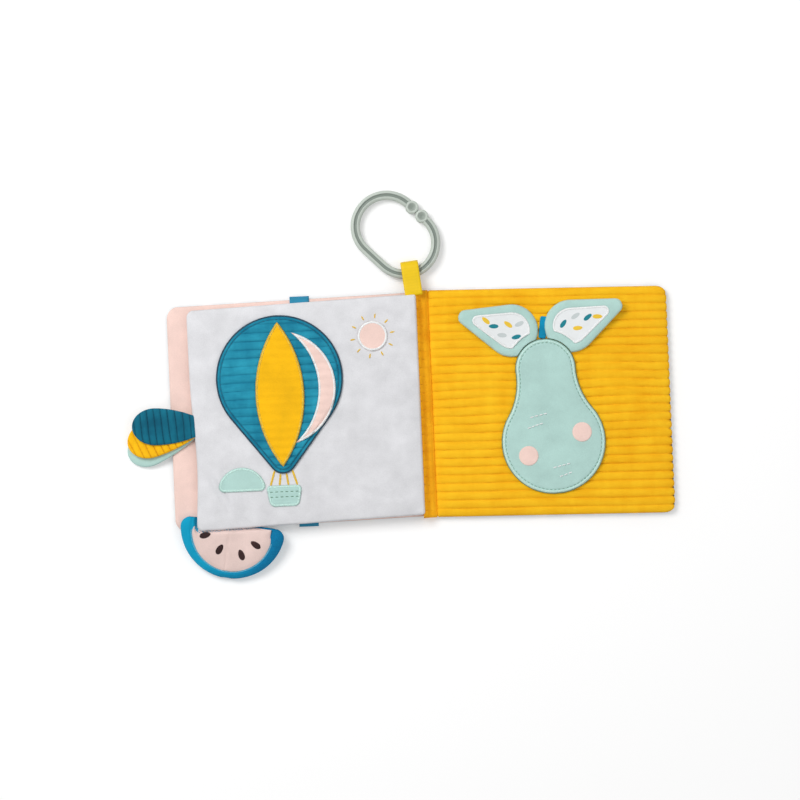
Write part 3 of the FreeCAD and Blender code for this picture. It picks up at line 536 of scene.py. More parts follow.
def inset(outline, distance):
    """An outline moved inward by a distance, from its own directions."""
    points, heading = resample(outline, 1.0, True)
    area = np.sum(points[:, 0] * np.roll(points[:, 1], -1) - np.roll(points[:, 0], -1) * points[:, 1])
    inward = np.stack([-heading[:, 1], heading[:, 0]], 1) * (1 if area > 0 else -1)
    moved = points + inward * distance
    keep = []
    tree = KDTree(len(points))
    for number, spot in enumerate(points):
        tree.insert((spot[0], spot[1], 0), number)
    tree.balance()
    for spot in moved:
        if tree.find((spot[0], spot[1], 0))[2] > abs(distance) * 0.93:
            keep.append(spot)
    return np.array(keep)


def satin(name, path, width, rise, ground, body, material, closed=True, slot=None, step=0.45, lift=0.0):
    """A band of satin stitch along a path: a low round ridge whose threads lie across it."""
    points, heading = resample(path, step, closed)
    side = np.stack([-heading[:, 1], heading[:, 0]], 1)
    spread = np.linspace(-1, 1, 7)
    rows = []
    for number, (point, across) in enumerate(zip(points, side)):
        wobble = 1.0 + 0.08 * (number % 2)
        ends = 1.0
        if not closed:
            ends = min(1.0, 0.25 + min(number, len(points) - 1 - number) * step / width)
        x = point[0] + across[0] * spread * width / 2 * wobble * ends
        y = point[1] + across[1] * spread * width / 2 * wobble * ends
        base = ground.height(x, y, -1.0)
        base = np.where(base < 0, base.max(), base)
        z = np.minimum(base, np.median(base) + 0.3) + lift - 0.15 + (rise * wobble + 0.15) * np.sqrt(1 - spread ** 2)
        rows.append(np.stack([x, y, z], 1))
    return band(name, rows, closed, body, material, slot)


def band(name, rows, closed, body, material, slot=None, marks=None):
    """A mesh from rows of points across a band. The rows' ends lie under the cloth."""
    count = len(rows[0])
    points = np.concatenate(rows)
    faces = []
    total = len(rows)
    for row in range(total if closed else total - 1):
        nxt = (row + 1) % total
        for column in range(count - 1):
            faces.append([row * count + column, nxt * count + column,
                          nxt * count + column + 1, row * count + column + 1])
        faces.append([row * count + count - 1, nxt * count + count - 1, nxt * count, row * count])
    if not closed:
        faces.append(list(range(count)))
        faces.append([(total - 1) * count + column for column in range(count)][::-1])
    piece = make(name, points, faces, body, material, marks)
    fix_normals(piece)
    return piece


def stitches(name, path, ground, body, material, length=2.6, gap=1.2, radius=0.28, closed=True,
             sink=0.05):
    """A row of separate stitches along a path, each a short thread that dips into the cloth at both ends."""
    path = np.asarray(path, float)
    points, heading = resample(path, length + gap, closed)
    spots, faces, sides = [], [], 6
    shares = np.linspace(-1, 1, 7)
    for point, way in zip(points, heading):
        start = len(spots)
        x = point[0] + way[0] * shares * length / 2
        y = point[1] + way[1] * shares * length / 2
        z = ground.height(x, y, -1.0)
        if z.min() < 0:
            continue
        lift = radius * 0.9 * (1 - shares ** 4) - sink
        swell = radius * np.sqrt(np.clip(1 - np.abs(shares) ** 3, 0.03, 1))
        for spot in range(len(shares)):
            for side in range(sides):
                angle = 2 * math.pi * side / sides
                out, up = math.cos(angle) * swell[spot], math.sin(angle) * swell[spot]
                spots.append((x[spot] - way[1] * out, y[spot] + way[0] * out, z[spot] + lift[spot] + up))
        for spot in range(len(shares) - 1):
            for side in range(sides):
                nxt = (side + 1) % sides
                a = start + spot * sides
                faces.append([a + side, a + nxt, a + sides + nxt, a + sides + side])
        faces.append([start + side for side in range(sides)][::-1])
        faces.append([start + (len(shares) - 1) * sides + side for side in range(sides)])
    piece = make(name, spots, faces, body, material)
    fix_normals(piece)
    return piece


# Leaves.

def page():
    """The white padded leaf, gathered at its free edge and creased at its corners."""
    def drawn_in(above):
        """The free edge is pulled in below its middle, where the tabs' seam gathers it."""
        pull, centre, breadth, fullness = 2.8, -32, 38, 0.3
        return pull * np.exp(-((above - centre) / breadth) ** 2) - fullness

    form = PAGE.form(mixed(-PAGE.height / 2, PAGE.height / 2, 150, 0.5), 150, outer=drawn_in)
    x, y, edge = form.x, form.y, form.edge
    rise = rounded(edge, EDGE_PUFF)
    calm = np.clip(edge / 10, 0, 1)
    wave = 0.3 * ripple(x, y, 46, 3) * calm
    wave += fold(x, y, (-150, -34), (-130, -72), 2.4, -1.3) + fold(x, y, (-144, -38), (-126, -66), 2.2, 0.8)
    wave += fold(x, y, (-137, -28), (-134, -74), 1.6, -0.6) + fold(x, y, (-60, -50), (-18, -66), 3.0, -0.6)
    wave += fold(x, y, (-30, 66), (-8, 50), 2.6, -0.6) + fold(x, y, (-152, 40), (-136, 22), 2.6, -0.5)
    wave += 0.22 * ripple(x, y, 15, 4) * np.exp(-((edge - 5) / 5) ** 2)
    top = PAGE_SEAM + (HEM + (3 - HEM) * rise) * rounded(edge, 1.2) + wave
    bottom = PAGE_SEAM - (HEM + (3 - HEM) * rise) * rounded(edge, 1.2)
    piece = form.mesh("page", top, bottom, "page_block", "white_velour", "white_velour")
    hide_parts("inner_page")
    return piece


def cover_inside(leaf, name, node, material, body, seed):
    """A cover's upper cloth with the padding under it."""
    form = leaf.form(mixed(-leaf.height / 2, leaf.height / 2, 110, 0.6), 116)
    x, y, edge = form.x, form.y, form.edge
    rise = rounded(edge, EDGE_PUFF)
    top = SEAM_PLANE + (HEM + (COVER_CROWN - HEM) * rise) * rounded(edge, 1.2)
    top = top + 0.18 * ripple(x, y, 40, seed) * np.clip(edge / 6, 0, 1)
    bottom = np.full(x.shape, SEAM_PLANE + 0.02)
    piece = form.mesh(name, top, bottom, body, material, material)
    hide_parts(node)
    return piece


def cover_outside(leaf, name, node, material, body, seed):
    """A cover's lower cloth, which lies on the table."""
    form = leaf.form(mixed(-leaf.height / 2, leaf.height / 2, 90, 0.6), 96)
    x, y, edge = form.x, form.y, form.edge
    rise = rounded(edge, EDGE_PUFF)
    bottom = SEAM_PLANE - 0.04 - (HEM + (COVER_CROWN - HEM) * rise) * rounded(edge, 1.2)
    bottom = np.maximum(0.0, bottom + 0.12 * np.abs(ripple(x, y, 36, seed)) * np.clip(edge / 6, 0, 1))
    top = np.full(x.shape, SEAM_PLANE - 0.04)
    piece = form.mesh(name, top, bottom, body, material, material)
    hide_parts(node)
    return piece


def back_inside():
    """The back cover's upper side: wide-wale corduroy over padding."""
    half = BACK.height / 2
    rows, step = wale_stations(-half, half, 5.6)

    def scallops(values):
        """Each wale's end stands out, and the valleys between cut in, more so towards the lower corner."""
        ridge, _ = wales(values, -half, step)
        return 1.3 * (1 - ridge) * np.clip((40 - values) / 60, 0.3, 1) - 0.5 * ridge

    form = BACK.form(rows, 150, outer=scallops)
    x, y, edge = form.x, form.y, form.edge
    rise = rounded(edge, EDGE_PUFF)
    waver = 0.5 * ripple(x, y, 60, 11)
    waver = waver * np.clip((half - np.abs(form.along)) / 8, 0, 1)
    ridge, valley = wales(form.along, -half, step, waver)
    body_rise = (HEM + (COVER_CROWN - HEM) * rise) * rounded(edge, 1.4)
    top = SEAM_PLANE + body_rise + WALE_DEPTH * (0.35 + 0.65 * rise) * ridge * rounded(edge, 1.4)
    top = top + 0.25 * ripple(x, y, 42, 12) * np.clip(edge / 8, 0, 1)
    # The groove and crest marks carry the corduroy's painted shade in the valleys and painted highlight on the
    # crowns.
    piece = form.mesh("back_cover_inside_cloth", top, np.full(x.shape, SEAM_PLANE + 0.02), "back_cover",
                      "mustard_corduroy", "mustard_corduroy", {"groove": valley, "crest": ridge})
    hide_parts("back_cover_inside")
    return piece


def spine():
    """The corduroy that joins the page's edge to the back cover, a shallow hollow with a hem at each side."""
    columns = 21
    share = np.linspace(0, 1, columns)
    x = -SPINE_HALF - 0.9 + share * (2 * SPINE_HALF + 1.6)
    sag = 1.3 * np.sin(share * math.pi)
    top = 11.2 + (4.6 - 11.2) * share - sag + 0.5 * np.sin(share * math.pi * 2) ** 2
    below = 0.3 + 0.5 * np.abs(share - 0.5)
    lines, grooves, crests = [], [], []
    flat = np.sin(share * math.pi) ** 0.5
    for y in np.linspace(-76.1, 76.1, 260):
        wave = 0.25 * ripple(np.array([y]), np.array([0.0]), 18, 21)[0]
        ridge, valley = wales(y + share * 1.6, -76.0, 5.6)
        end = rounded(76.1 - abs(y), 1.5)
        middle = (top + below) / 2
        relief = wave * np.sin(share * math.pi) + 0.7 * (ridge - 0.6) * flat * (1.1 - share)
        upper = middle + (top - middle + relief) * max(end, 0.5)
        lower = middle + (below - middle) * max(end, 0.5)
        lines.append(np.concatenate([np.stack([x, np.full(columns, y), upper], 1),
                                     np.stack([x, np.full(columns, y), lower], 1)[::-1]]))
        # Painted shade in the valleys and painted highlight on the crowns, both stronger towards the spine's left
        # side.
        grooves.append(np.concatenate([valley * (1.15 - share), np.zeros(columns)]))
        crests.append(np.concatenate([ridge * (1 - share), np.zeros(columns)]))
    piece = band("spine_cloth", lines, False, None, "spine_corduroy", "mustard_cloth",
                 {"groove": np.concatenate(grooves), "crest": np.concatenate(crests)})
    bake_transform(piece)
    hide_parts("spine_strip")
    return piece


def strap(ground):
    """A flat woven tape over the inside of the front cover, its ends turned down past the hems."""
    left, right = -88.1, -75.1
    low, high = -78.5, 75.6
    lines = []
    columns = 9
    for y in np.linspace(low, high, 150):
        x = np.linspace(left, right, columns)
        z = ground.height(x, np.full(columns, y), -1.0)
        z = np.where(z < 0, SEAM_PLANE + HEM * 0.4, z) + 0.12
        z = np.maximum(z, np.median(z) - 0.2)
        lines.append(np.concatenate([np.stack([x, np.full(columns, y), z + 0.65], 1),
                                     np.stack([x, np.full(columns, y), z], 1)[::-1]]))
    piece = band("strap_tape", lines, False, "front_cover", "teal_strap", "teal_strap")
    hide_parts("strap")
    return piece


def teardrop_half(t, big, small, length):
    """Half the width of a teardrop at a distance from its big circle's middle."""
    lean = (big - small) / length
    first, last = big * lean, length + small * lean
    cosine = math.sqrt(1 - lean ** 2)
    tail = np.sqrt(np.clip(small ** 2 - (t - length) ** 2, 0, None))
    head = np.sqrt(np.clip(big ** 2 - t ** 2, 0, None))
    straight = (big * cosine) + (small - big) * cosine * (t - first) / (last - first)
    return np.where(t < first, head, np.where(t > last, tail, straight))


# Petal tabs in the page's free edge.

def tab(name, node, length, turn, droop, height, material, slot, ridged, thick):
    """A padded petal, an oval that narrows to the end that is sewn in the page's hem."""
    big, small, point = 12.3, 6.75, 15.5
    middle = length - point
    tucked = -3.0
    rows = np.concatenate([np.linspace(tucked, length - 3, 120 if ridged else 44),
                           length - 3 * np.linspace(0.9, 0.01, 14) ** 2])

    def span(t):
        bulge = small + (big - small) * np.sin(np.clip((t + 3) / (middle + 3), 0, 1) * math.pi / 2) ** 0.85
        tip = np.sqrt(np.clip(1 - (np.clip(t - middle, 0, None) / point) ** 2, 0, None)) * big
        half = np.maximum(np.where(t < middle, bulge, tip), 0.3)
        return -half, half

    form = Form(rows, span, 64 if ridged else 44)
    t, across, edge = form.along, form.across, form.edge
    swell = np.clip(t / (length * 0.45), 0, 1)
    full = 1.0 + (thick - 1.0) * np.sin(swell * math.pi / 2) ** 2
    puff = rounded(edge, 5.5) * rounded(edge, 1.0) ** 0.5
    lean = across * 0.14 + 0.35 * ripple(t, across, 22, 31)
    ridge = wales(t, 0.4, 4.7, lean)[0] if ridged else 0 * t
    # The valley mark is painted shade between the wales, and the crest mark is a painted highlight on them.
    valley = np.clip(1.15 - 1.55 * ridge, 0, 1) if ridged else 0 * t
    upper = full / 2 * (0.3 + 0.7 * puff) * rounded(edge, 1.2)
    if ridged:
        upper = upper * (0.52 + 0.58 * ridge)
    lower = -full / 2 * (0.3 + 0.7 * puff) * rounded(edge, 1.2)
    edge_x, edge_y = PAGE.at(PAGE.width + 0.3, -3.5)
    spin = np.array(Matrix.Rotation(math.radians(180 + turn), 3, "Z") @ Matrix.Rotation(math.radians(droop), 3, "Y"))
    form.x, form.y = t, across

    def lay(points):
        sunk = points[:, 2] + points[:, 0] * math.sin(math.radians(droop))
        points[:, 2] = np.where(points[:, 0] < 0, sunk, points[:, 2])
        return points @ spin.T + np.array([edge_x, edge_y, height])

    piece = form.mesh(name, upper, lower, "page_block", material, slot, {"groove": valley, "crest": ridge}, lay)
    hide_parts(node)
    return piece


# The fruit slice.

def half_disc_half(depth, radius, corner, band=0.0):
    """Half the width of a half disc at a depth below its straight edge. The disc's middle lies a band below it."""
    reach = math.sqrt((radius - corner) ** 2 - (corner - band) ** 2)
    turn = band + (corner - band) * radius / (radius - corner)
    near = reach + np.sqrt(np.clip(corner ** 2 - (depth - corner) ** 2, 0, None))
    far = np.sqrt(np.clip(radius ** 2 - (depth - band) ** 2, 0, None))
    return np.where(depth < turn, near, far)


SLICE_RADIUS, SLICE_BAND, SLICE_CORNER = 35.0, 3.0, 6.5
FLESH_RADIUS, FLESH_INSET = 27.0, 2.8


def slice_lay():
    """From the slice's flat frame to its place: tilted on the cover's edge, and pressed where the page lies on it."""
    lift, from_spine, tucked, turned = 6.2, 127.4, 4.6, -11
    page_edge, ramp = 9.2, 1.6
    x, y = FRONT.at(from_spine, -FRONT.height / 2 + tucked)
    tilt = math.asin(lift / (SLICE_BAND + SLICE_RADIUS))
    spin = np.array(Matrix.Rotation(math.radians(turned), 3, "Z") @ Matrix.Rotation(tilt, 3, "X"))

    def lay(points):
        placed = points @ spin.T + np.array([x, y, lift])
        low = PAGE.middle(-placed[:, 0]) - PAGE.height / 2
        inside = placed[:, 1] - low
        side = -156.0 - placed[:, 0]
        ceiling = np.where(inside > -0.3, PAGE_SEAM - 1.1 - (3 - HEM) * rounded(inside, EDGE_PUFF), 99)
        ceiling = np.where((inside > -3) & (inside <= -0.3), page_edge + (-0.3 - inside) * ramp, ceiling)
        ceiling = ceiling + np.clip(side, 0, 4) ** 1.2 * 1.2
        placed[:, 2] = np.minimum(placed[:, 2], ceiling)
        front_low = FRONT.middle(-placed[:, 0]) - FRONT.height / 2
        from_edge = np.minimum(placed[:, 1] - front_low, placed[:, 0] + FRONT.start + FRONT.width)
        floor = SEAM_PLANE + HEM + (COVER_CROWN - HEM) * rounded(from_edge, EDGE_PUFF) + 0.25
        placed[:, 2] = np.where(from_edge > 0, np.maximum(placed[:, 2], floor), np.maximum(placed[:, 2], 0.3))
        return placed

    return lay


def fruit_slice():
    """A plush half slice: the rind, a paler flesh sunk in it, and piping where they meet."""
    lay = slice_lay()
    depth = SLICE_BAND + SLICE_RADIUS

    rind_half = even(lambda along: half_disc_half(-along, SLICE_RADIUS, SLICE_CORNER, SLICE_BAND))
    rind = Form(-mixed(0.02, depth - 0.02, 80, 0.7), rind_half, 104)
    rind.x, rind.y = rind.across, rind.along
    puff = rounded(rind.edge, 9.0)
    flesh_edge = flesh_distance(rind.x, -rind.y)
    dent = 1.5 / (1 + np.exp(-flesh_edge * 1.6)) + 0.5 * np.exp(-((flesh_edge + 0.6) / 0.7) ** 2)
    puckers = 0.16 * ripple(rind.x, rind.y, 7, 43) * np.exp(-((flesh_edge + 2) / 2.2) ** 2)
    top = 3.5 + 3.6 * puff - dent + 0.14 * ripple(rind.x, rind.y, 16, 41) + puckers
    low = 3.5 - 3.4 * rounded(rind.edge, 6.0)
    # Painted shade for the rind: 0 at its left end, 1 at its right end, where it is darkest.
    shade = np.clip((rind.x + 25) / 50, 0, 1)
    piece = rind.mesh("slice_rind_cloth", top, low, "front_cover", "rind_velour", "teal_velour",
                      {"shade": shade}, lay)
    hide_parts("slice_rind")
    flesh_rows = -mixed(0.7, FLESH_INSET + SLICE_BAND + FLESH_RADIUS - 0.02, 60, 0.7)
    flesh = Form(flesh_rows, even(lambda along: flesh_half(-along), 0.3), 90)
    flesh.x, flesh.y = flesh.across, flesh.along
    puff = rounded(flesh.edge, 7.0)
    seam = -0.6 * np.exp(-((flesh.x + 1.5) / 0.7) ** 2) * np.clip(flesh.edge / 3, 0, 1)
    top = 5.5 + 1.8 * puff + seam + 0.2 * ripple(flesh.x, flesh.y, 18, 42)
    piece = flesh.mesh("slice_flesh_cloth", top, np.full(top.shape, 5.3), "front_cover", "flesh_velour",
                       "pink_velour", None, lay)
    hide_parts("slice_flesh")
    turn = np.linspace(math.radians(184), math.radians(352), 120)
    reach = FLESH_RADIUS + 0.3
    path = np.stack([reach * np.cos(turn), reach * np.sin(turn) - SLICE_BAND - FLESH_INSET, 0 * turn + 7.0], 1)
    path = lay(path)[:, :2]
    satin("slice_piping", path, 0.9, 0.35, Ground(bpy.data.objects["slice_rind_cloth"], piece), "front_cover",
          "thread_blue", closed=False)
    return piece


def flesh_half(depth):
    """Half the flesh's width at a depth below the slice's straight edge. It runs up to the pressed edge."""
    return half_disc_half(np.maximum(depth - FLESH_INSET, SLICE_BAND), FLESH_RADIUS, SLICE_CORNER, SLICE_BAND)


def flesh_distance(x, depth):
    """Roughly how far inside the flesh's outline a point is, negative outside."""
    below = np.maximum(depth - SLICE_BAND - FLESH_INSET, 0)
    return np.minimum(FLESH_RADIUS - np.hypot(x, below), depth - 0.7)


def seeds(ground):
    """Four felt seeds, all one piece of the part."""
    lay = slice_lay()
    centres = []
    for direction, circle in ((203.0, 19.0), (247.0, 16.8), (296.0, 19.0), (332.0, 19.0)):
        angle = math.radians(direction)
        centres.append((circle * math.cos(angle), circle * math.sin(angle) - SLICE_BAND, direction))
    points, faces = [], []
    for cx, cy, direction in centres:
        rows = eased(-3.8, 3.8, 16)
        start = len(points)
        angle = math.radians(direction)
        for t in rows:
            half = 2.1 * math.sqrt(max(0, 1 - (t / 3.8) ** 2)) * (1 + 0.15 * t / 3.8)
            for share in np.linspace(-1, 1, 9):
                s = half * share
                rise = 0.9 * math.sqrt(max(0, 1 - share ** 2)) * math.sqrt(max(0, 1 - (t / 3.8) ** 2))
                x = cx + t * math.cos(angle) - s * math.sin(angle)
                y = cy + t * math.sin(angle) + s * math.cos(angle)
                points.append((x, y, rise))
        for row in range(len(rows) - 1):
            for column in range(8):
                a = start + row * 9 + column
                faces.append([a, a + 1, a + 10, a + 9])
    flat = np.array(points)
    placed = lay(np.stack([flat[:, 0], flat[:, 1], np.full(len(flat), 7.0)], 1))
    placed[:, 2] = ground.height(placed[:, 0], placed[:, 1], 5.0) - 0.05 + flat[:, 2]
    piece = make("slice_seed_patches", placed, faces, "front_cover", "dark_felt")
    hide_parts("slice_seeds")
    return piece


# Appliques.

def patch(name, node, form, ground, thick, body, material, slot, reach=3.0, lift=0.1, bulge=0.0, marks=None,
          relief=None):
    """A cloth patch, padded a little, that follows what it is sewn on."""
    base = ground.height(form.x, form.y, -1.0)
    base = np.where(base < 0, np.median(base[base > 0]), base)
    rise = rounded(form.edge, reach)
    top = base + lift + thick * (0.35 + 0.65 * rise) * rounded(form.edge, 0.7)
    top = top + bulge * rounded(form.edge, 16) ** 2
    if relief is not None:
        top = top + relief
    piece = form.mesh(name, top, base + 0.02, body, material, slot, marks)
    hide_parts(node)
    return piece


def edged(name, form, piece, body, material, inward=0.8, width=1.6, rise=0.3):
    """Satin stitch round a patch, over its edge."""
    satin(name, inset(form.outline(), inward), width, rise, Ground(piece), body, material, lift=0.05)


def gore_form(top, chord, low_bulge, high_bulge, columns=40):
    """A pointed panel hanging from its top point, between two arcs."""
    def arc(t, bulge):
        radius = (chord ** 2 / 4 + bulge ** 2) / (2 * abs(bulge))
        return math.copysign(1, bulge) * (np.sqrt(np.clip(radius ** 2 - (t - chord / 2) ** 2, 0, None))
                                          - (radius - abs(bulge)))

    def span(t):
        low, high = arc(t, low_bulge), arc(t, high_bulge)
        return low - 0.15, high + 0.15

    # Along runs down from the top, so across runs to the right.
    return Form(mixed(0.0, chord, 70, 0.5), span, columns, origin=top, turn=-90)


def balloon(page_ground):
    """A plain hot-air balloon: corduroy envelope, two panels, ropes and a basket."""
    cx, cy = PAGE.at(93.0, 24.0)
    drop, big, small = 54.0, 42.0, 9.0
    low, high = -(drop + small), big
    rows, step = wale_stations(low, high, 5.6)

    form = Form(rows, even(lambda t: teardrop_half(-t, big, small, drop), 0.3), 110, origin=(cx, cy), turn=90)
    waver = 0.3 * ripple(form.x, form.y, 50, 51)
    ridge, valley = wales(form.along, low, step, waver)
    inner = np.clip((form.edge - 2.6) / 0.9, 0, 1)
    seam = np.exp(-((form.edge - 2.5) / 0.45) ** 2)
    relief = 0.85 * ridge * inner - 0.35 * seam
    # The groove mark holds painted shade in the valleys and along the seam's dent; the crest mark holds painted
    # highlight on the crowns.
    groove = np.maximum(valley * inner, 0.75 * seam)
    piece = patch("envelope_cloth", "balloon_envelope", form, page_ground, 1.1, "page_block", "teal_corduroy",
                  "teal_corduroy", 2.4, bulge=0.5, marks={"groove": groove, "crest": ridge * inner}, relief=relief)
    outline = form.outline()
    ground = Ground(piece)
    satin("envelope_edge", inset(outline, 0.35), 1.1, 0.4, ground, "page_block", "thread_dark", lift=-0.05)
    stitches("envelope_stitches", inset(outline, 2.5), ground, "page_block", "thread_teal", 2.0, 0.9, 0.22)

    half = 16.0
    gore_top = (cx, cy + big - small / 2)
    chord = (big - small / 2) + (drop + small / 2)
    first = gore_form(gore_top, chord, -half, half)
    piece = patch("gore_mustard_cloth", "balloon_gore_mustard", first, ground, 1.0, "page_block",
                  "mustard_velour", "mustard_corduroy", 2.5, bulge=0.3)
    edged("gore_mustard_edge", first, piece, "page_block", "thread_yellow", 0.8, 1.7)
    side_top = (cx + 9.0, cy + big - small / 2 - 7.2)
    side_low = cy - drop - small / 2 + 15.3
    second = gore_form(side_top, side_top[1] - side_low, 17.0, 28.0, 24)
    piece = patch("gore_pink_cloth", "balloon_gore_pink", second, ground, 0.9, "page_block", "pink_velour",
                  "pink_velour", 2.0)
    edged("gore_pink_edge", second, piece, "page_block", "thread_white", 0.7, 1.4, 0.28)

    mouth = cy - drop
    basket_top = mouth - small - 8.0
    rows = mixed(basket_top - 14.0, basket_top, 40, 0.7)

    def basket_span(t):
        share = (t - (basket_top - 14.0)) / 14.0
        half = 12.0 * (0.8 + 0.2 * share)
        room = np.minimum(t - (basket_top - 14.0), basket_top - t)
        trim = 3.2 - np.sqrt(np.clip(3.2 ** 2 - (3.2 - np.clip(room, 0, 3.2)) ** 2, 0, None))
        return -(half - trim), half - trim

    form = Form(rows, basket_span, 48, origin=(cx, 0), turn=90)
    courses = 0.22 * np.abs(np.sin((form.along - basket_top) * math.pi / 3.5)) * np.clip((form.edge - 1.8) / 1, 0, 1)
    piece = patch("basket_cloth", "balloon_basket", form, page_ground, 0.9, "page_block", "mint_velour",
                  "mint_velour", 2.0, relief=courses)
    edged("basket_edge", form, piece, "page_block", "thread_mint")
    ground_basket = Ground(piece)
    for number, level in enumerate((4.2, 7.6)):
        path = [(cx - 8.5, basket_top - level), (cx + 8.5, basket_top - level)]
        stitches("basket_row_%d" % number, path, ground_basket, "page_block", "thread_green", 2.2, 1.1, 0.24,
                 closed=False)

    for number, (start, end) in enumerate((((-5.8, -2.0), (-9.0, 0.6)), ((-1.9, 0.0), (-3.0, 0.6)),
                                           ((1.9, 0.0), (3.0, 0.6)), ((5.8, -2.0), (9.0, 0.6)))):
        first_y = mouth - small - 0.4 + (2.6 if abs(start[0]) > 5 else 0.4)
        path = [(cx + start[0], first_y), (cx + end[0], basket_top - 0.2)]
        satin("rope_%d" % number, path, 1.5, 0.45, page_ground, "page_block", "thread_yellow", closed=False)


def disc_form(x, y, radius, rows=36, columns=40):
    half = even(lambda t: np.sqrt(np.clip(radius ** 2 - t ** 2, 0.02, None)))
    return Form(eased(-radius, radius, rows), half, columns, origin=(x, y), turn=90)


def small_patches(page_ground):
    """A round sun with sewn rays, and a low hill."""
    x, y = PAGE.at(30.0, PAGE.height / 2 - 26.0)
    form = disc_form(x, y, 10.0)
    piece = patch("sun_cloth", "sun_patch", form, page_ground, 0.9, "page_block", "pink_velour", "pink_velour", 2.0)
    edged("sun_edge", form, piece, "page_block", "thread_white")
    rays = Ground(bpy.data.objects["page"])
    for number in range(10):
        angle = 2 * math.pi * number / 10 + 0.15
        path = [(x + math.cos(angle) * 11.8, y + math.sin(angle) * 11.8),
                (x + math.cos(angle) * 15.0, y + math.sin(angle) * 15.0)]
        satin("sun_ray_%d" % number, path, 1.1, 0.35, rays, "page_block", "thread_yellow", closed=False)
    x, y = PAGE.at(PAGE.width - 32.0, 24.5 - PAGE.height / 2)
    rows = mixed(0.02, 15.98, 36, 0.7)
    form = Form(rows, even(lambda t: half_disc_half(t, 16.0, 3.5)), 44, origin=(x, y), turn=90)
    piece = patch("hill_cloth", "hill_patch", form, page_ground, 0.9, "page_block", "mint_velour", "mint_velour", 2.0)
    edged("hill_edge", form, piece, "page_block", "thread_mint")


# The pear on the back cover.

PEAR_LOW = BACK.at(80.0, -27.0)
PEAR_LEAN = 4.0
PEAR_AXIS = (math.cos(math.radians(90 + PEAR_LEAN)), math.sin(math.radians(90 + PEAR_LEAN)))
PEAR_BIG, PEAR_SMALL, PEAR_LENGTH = 34.5, 20.0, 49.0
PEAR_HIGH = (PEAR_LOW[0] + PEAR_AXIS[0] * PEAR_LENGTH, PEAR_LOW[1] + PEAR_AXIS[1] * PEAR_LENGTH)
# Where the pear lies on the corduroy, near the tops of its wales.
WALE_TOPS = 7.45


def pear_half(t):
    """Half the pear's width: two circles, and a hollow waist between them."""
    low, high, length, waist = PEAR_BIG, PEAR_SMALL, PEAR_LENGTH, 46.0
    to_low, to_high = low + waist, high + waist
    along = (length ** 2 + to_low ** 2 - to_high ** 2) / (2 * length)
    across = math.sqrt(to_low ** 2 - along ** 2)
    first = along * low / to_low
    last = length + (along - length) * high / to_high
    head = np.sqrt(np.clip(low ** 2 - t ** 2, 0, None))
    tail = np.sqrt(np.clip(high ** 2 - (t - length) ** 2, 0, None))
    middle = across - np.sqrt(np.clip(waist ** 2 - (t - along) ** 2, 0, None))
    return np.where(t < first, head, np.where(t > last, tail, middle))


def level_ground(height):
    """A flat stand-in for Ground at one height."""
    class Level:
        def height(self, x, y, missing=0.0):
            x, y = np.broadcast_arrays(x, y)
            return np.full(x.shape, float(height))
    return Level()


def pear():
    """A padded pear with a stem, two round spots and a few decorative stitches."""
    rows = mixed(0.02 - PEAR_BIG, PEAR_LENGTH + PEAR_SMALL - 0.02, 120, 0.5)
    form = Form(rows, even(pear_half, 0.3), 96, origin=PEAR_LOW, turn=90 + PEAR_LEAN)
    base = level_ground(WALE_TOPS)
    seam = -0.35 * np.exp(-((form.edge - 2.4) / 0.5) ** 2)
    puckers = 0.12 * ripple(form.x, form.y, 9, 61) * np.exp(-(form.edge - 4) ** 2 / 14)
    piece = patch("pear_cloth", "pear_body", form, base, 2.5, "back_cover", "mint_velour", "mint_velour", 4.0,
                  bulge=0.9, relief=seam + puckers + 0.15 * ripple(form.x, form.y, 34, 62))
    ground = Ground(piece)
    satin("pear_edge", inset(form.outline(), 1.25), 1.9, 0.4, ground, "back_cover", "thread_mint", lift=0.0)
    satin("pear_outline_thread", inset(form.outline(), 0.1), 0.55, 0.4, level_ground(7.6), "back_cover",
          "thread_green", lift=0.9)
    stitches("pear_stitches", inset(form.outline(), 2.6), ground, "back_cover", "thread_green", 1.9, 0.8, 0.16,
             sink=0.12)
    low_x, low_y = PEAR_LOW
    for name, dx, dy in (("low", -17.2, -8.6), ("high", 19.0, 5.8)):
        spot = disc_form(low_x + dx, low_y + dy, 6.5, 26, 28)
        patch("pear_spot_%s_cloth" % name, "pear_spot_" + name, spot, ground, 0.5, "back_cover",
              "pink_velour", "pink_velour", 1.6)
    dashes = [((-14, 17), (-5, 19)), ((-16, 10), (-8, 12.5)), ((0, -17), (9, -15)), ((4, -23), (10, -21))]
    for number, ((ax, ay), (bx, by)) in enumerate(dashes):
        stitches("pear_dash_%d" % number, [(low_x + ax, low_y + ay), (low_x + bx, low_y + by)], ground,
                 "back_cover", "thread_white", 2.6, 0.5, 0.42, closed=False)

    root = (PEAR_HIGH[0] + PEAR_AXIS[0] * 20.3, PEAR_HIGH[1] + PEAR_AXIS[1] * 20.3)
    rows = mixed(0.02, 14.98, 30, 0.7)

    def stem_span(t):
        room = np.clip(np.minimum(t, 15.0 - t), 0, 1.5)
        half = 2.5 - (1.5 - np.sqrt(np.clip(1.5 ** 2 - (1.5 - room) ** 2, 0, None)))
        return -half, half

    stem = Form(rows, stem_span, 18, origin=root, turn=90 - 2 * PEAR_LEAN)
    patch("stem_cloth", "pear_stem", stem, base, 0.9, "back_cover", "teal_velour", "teal_velour", 1.6)


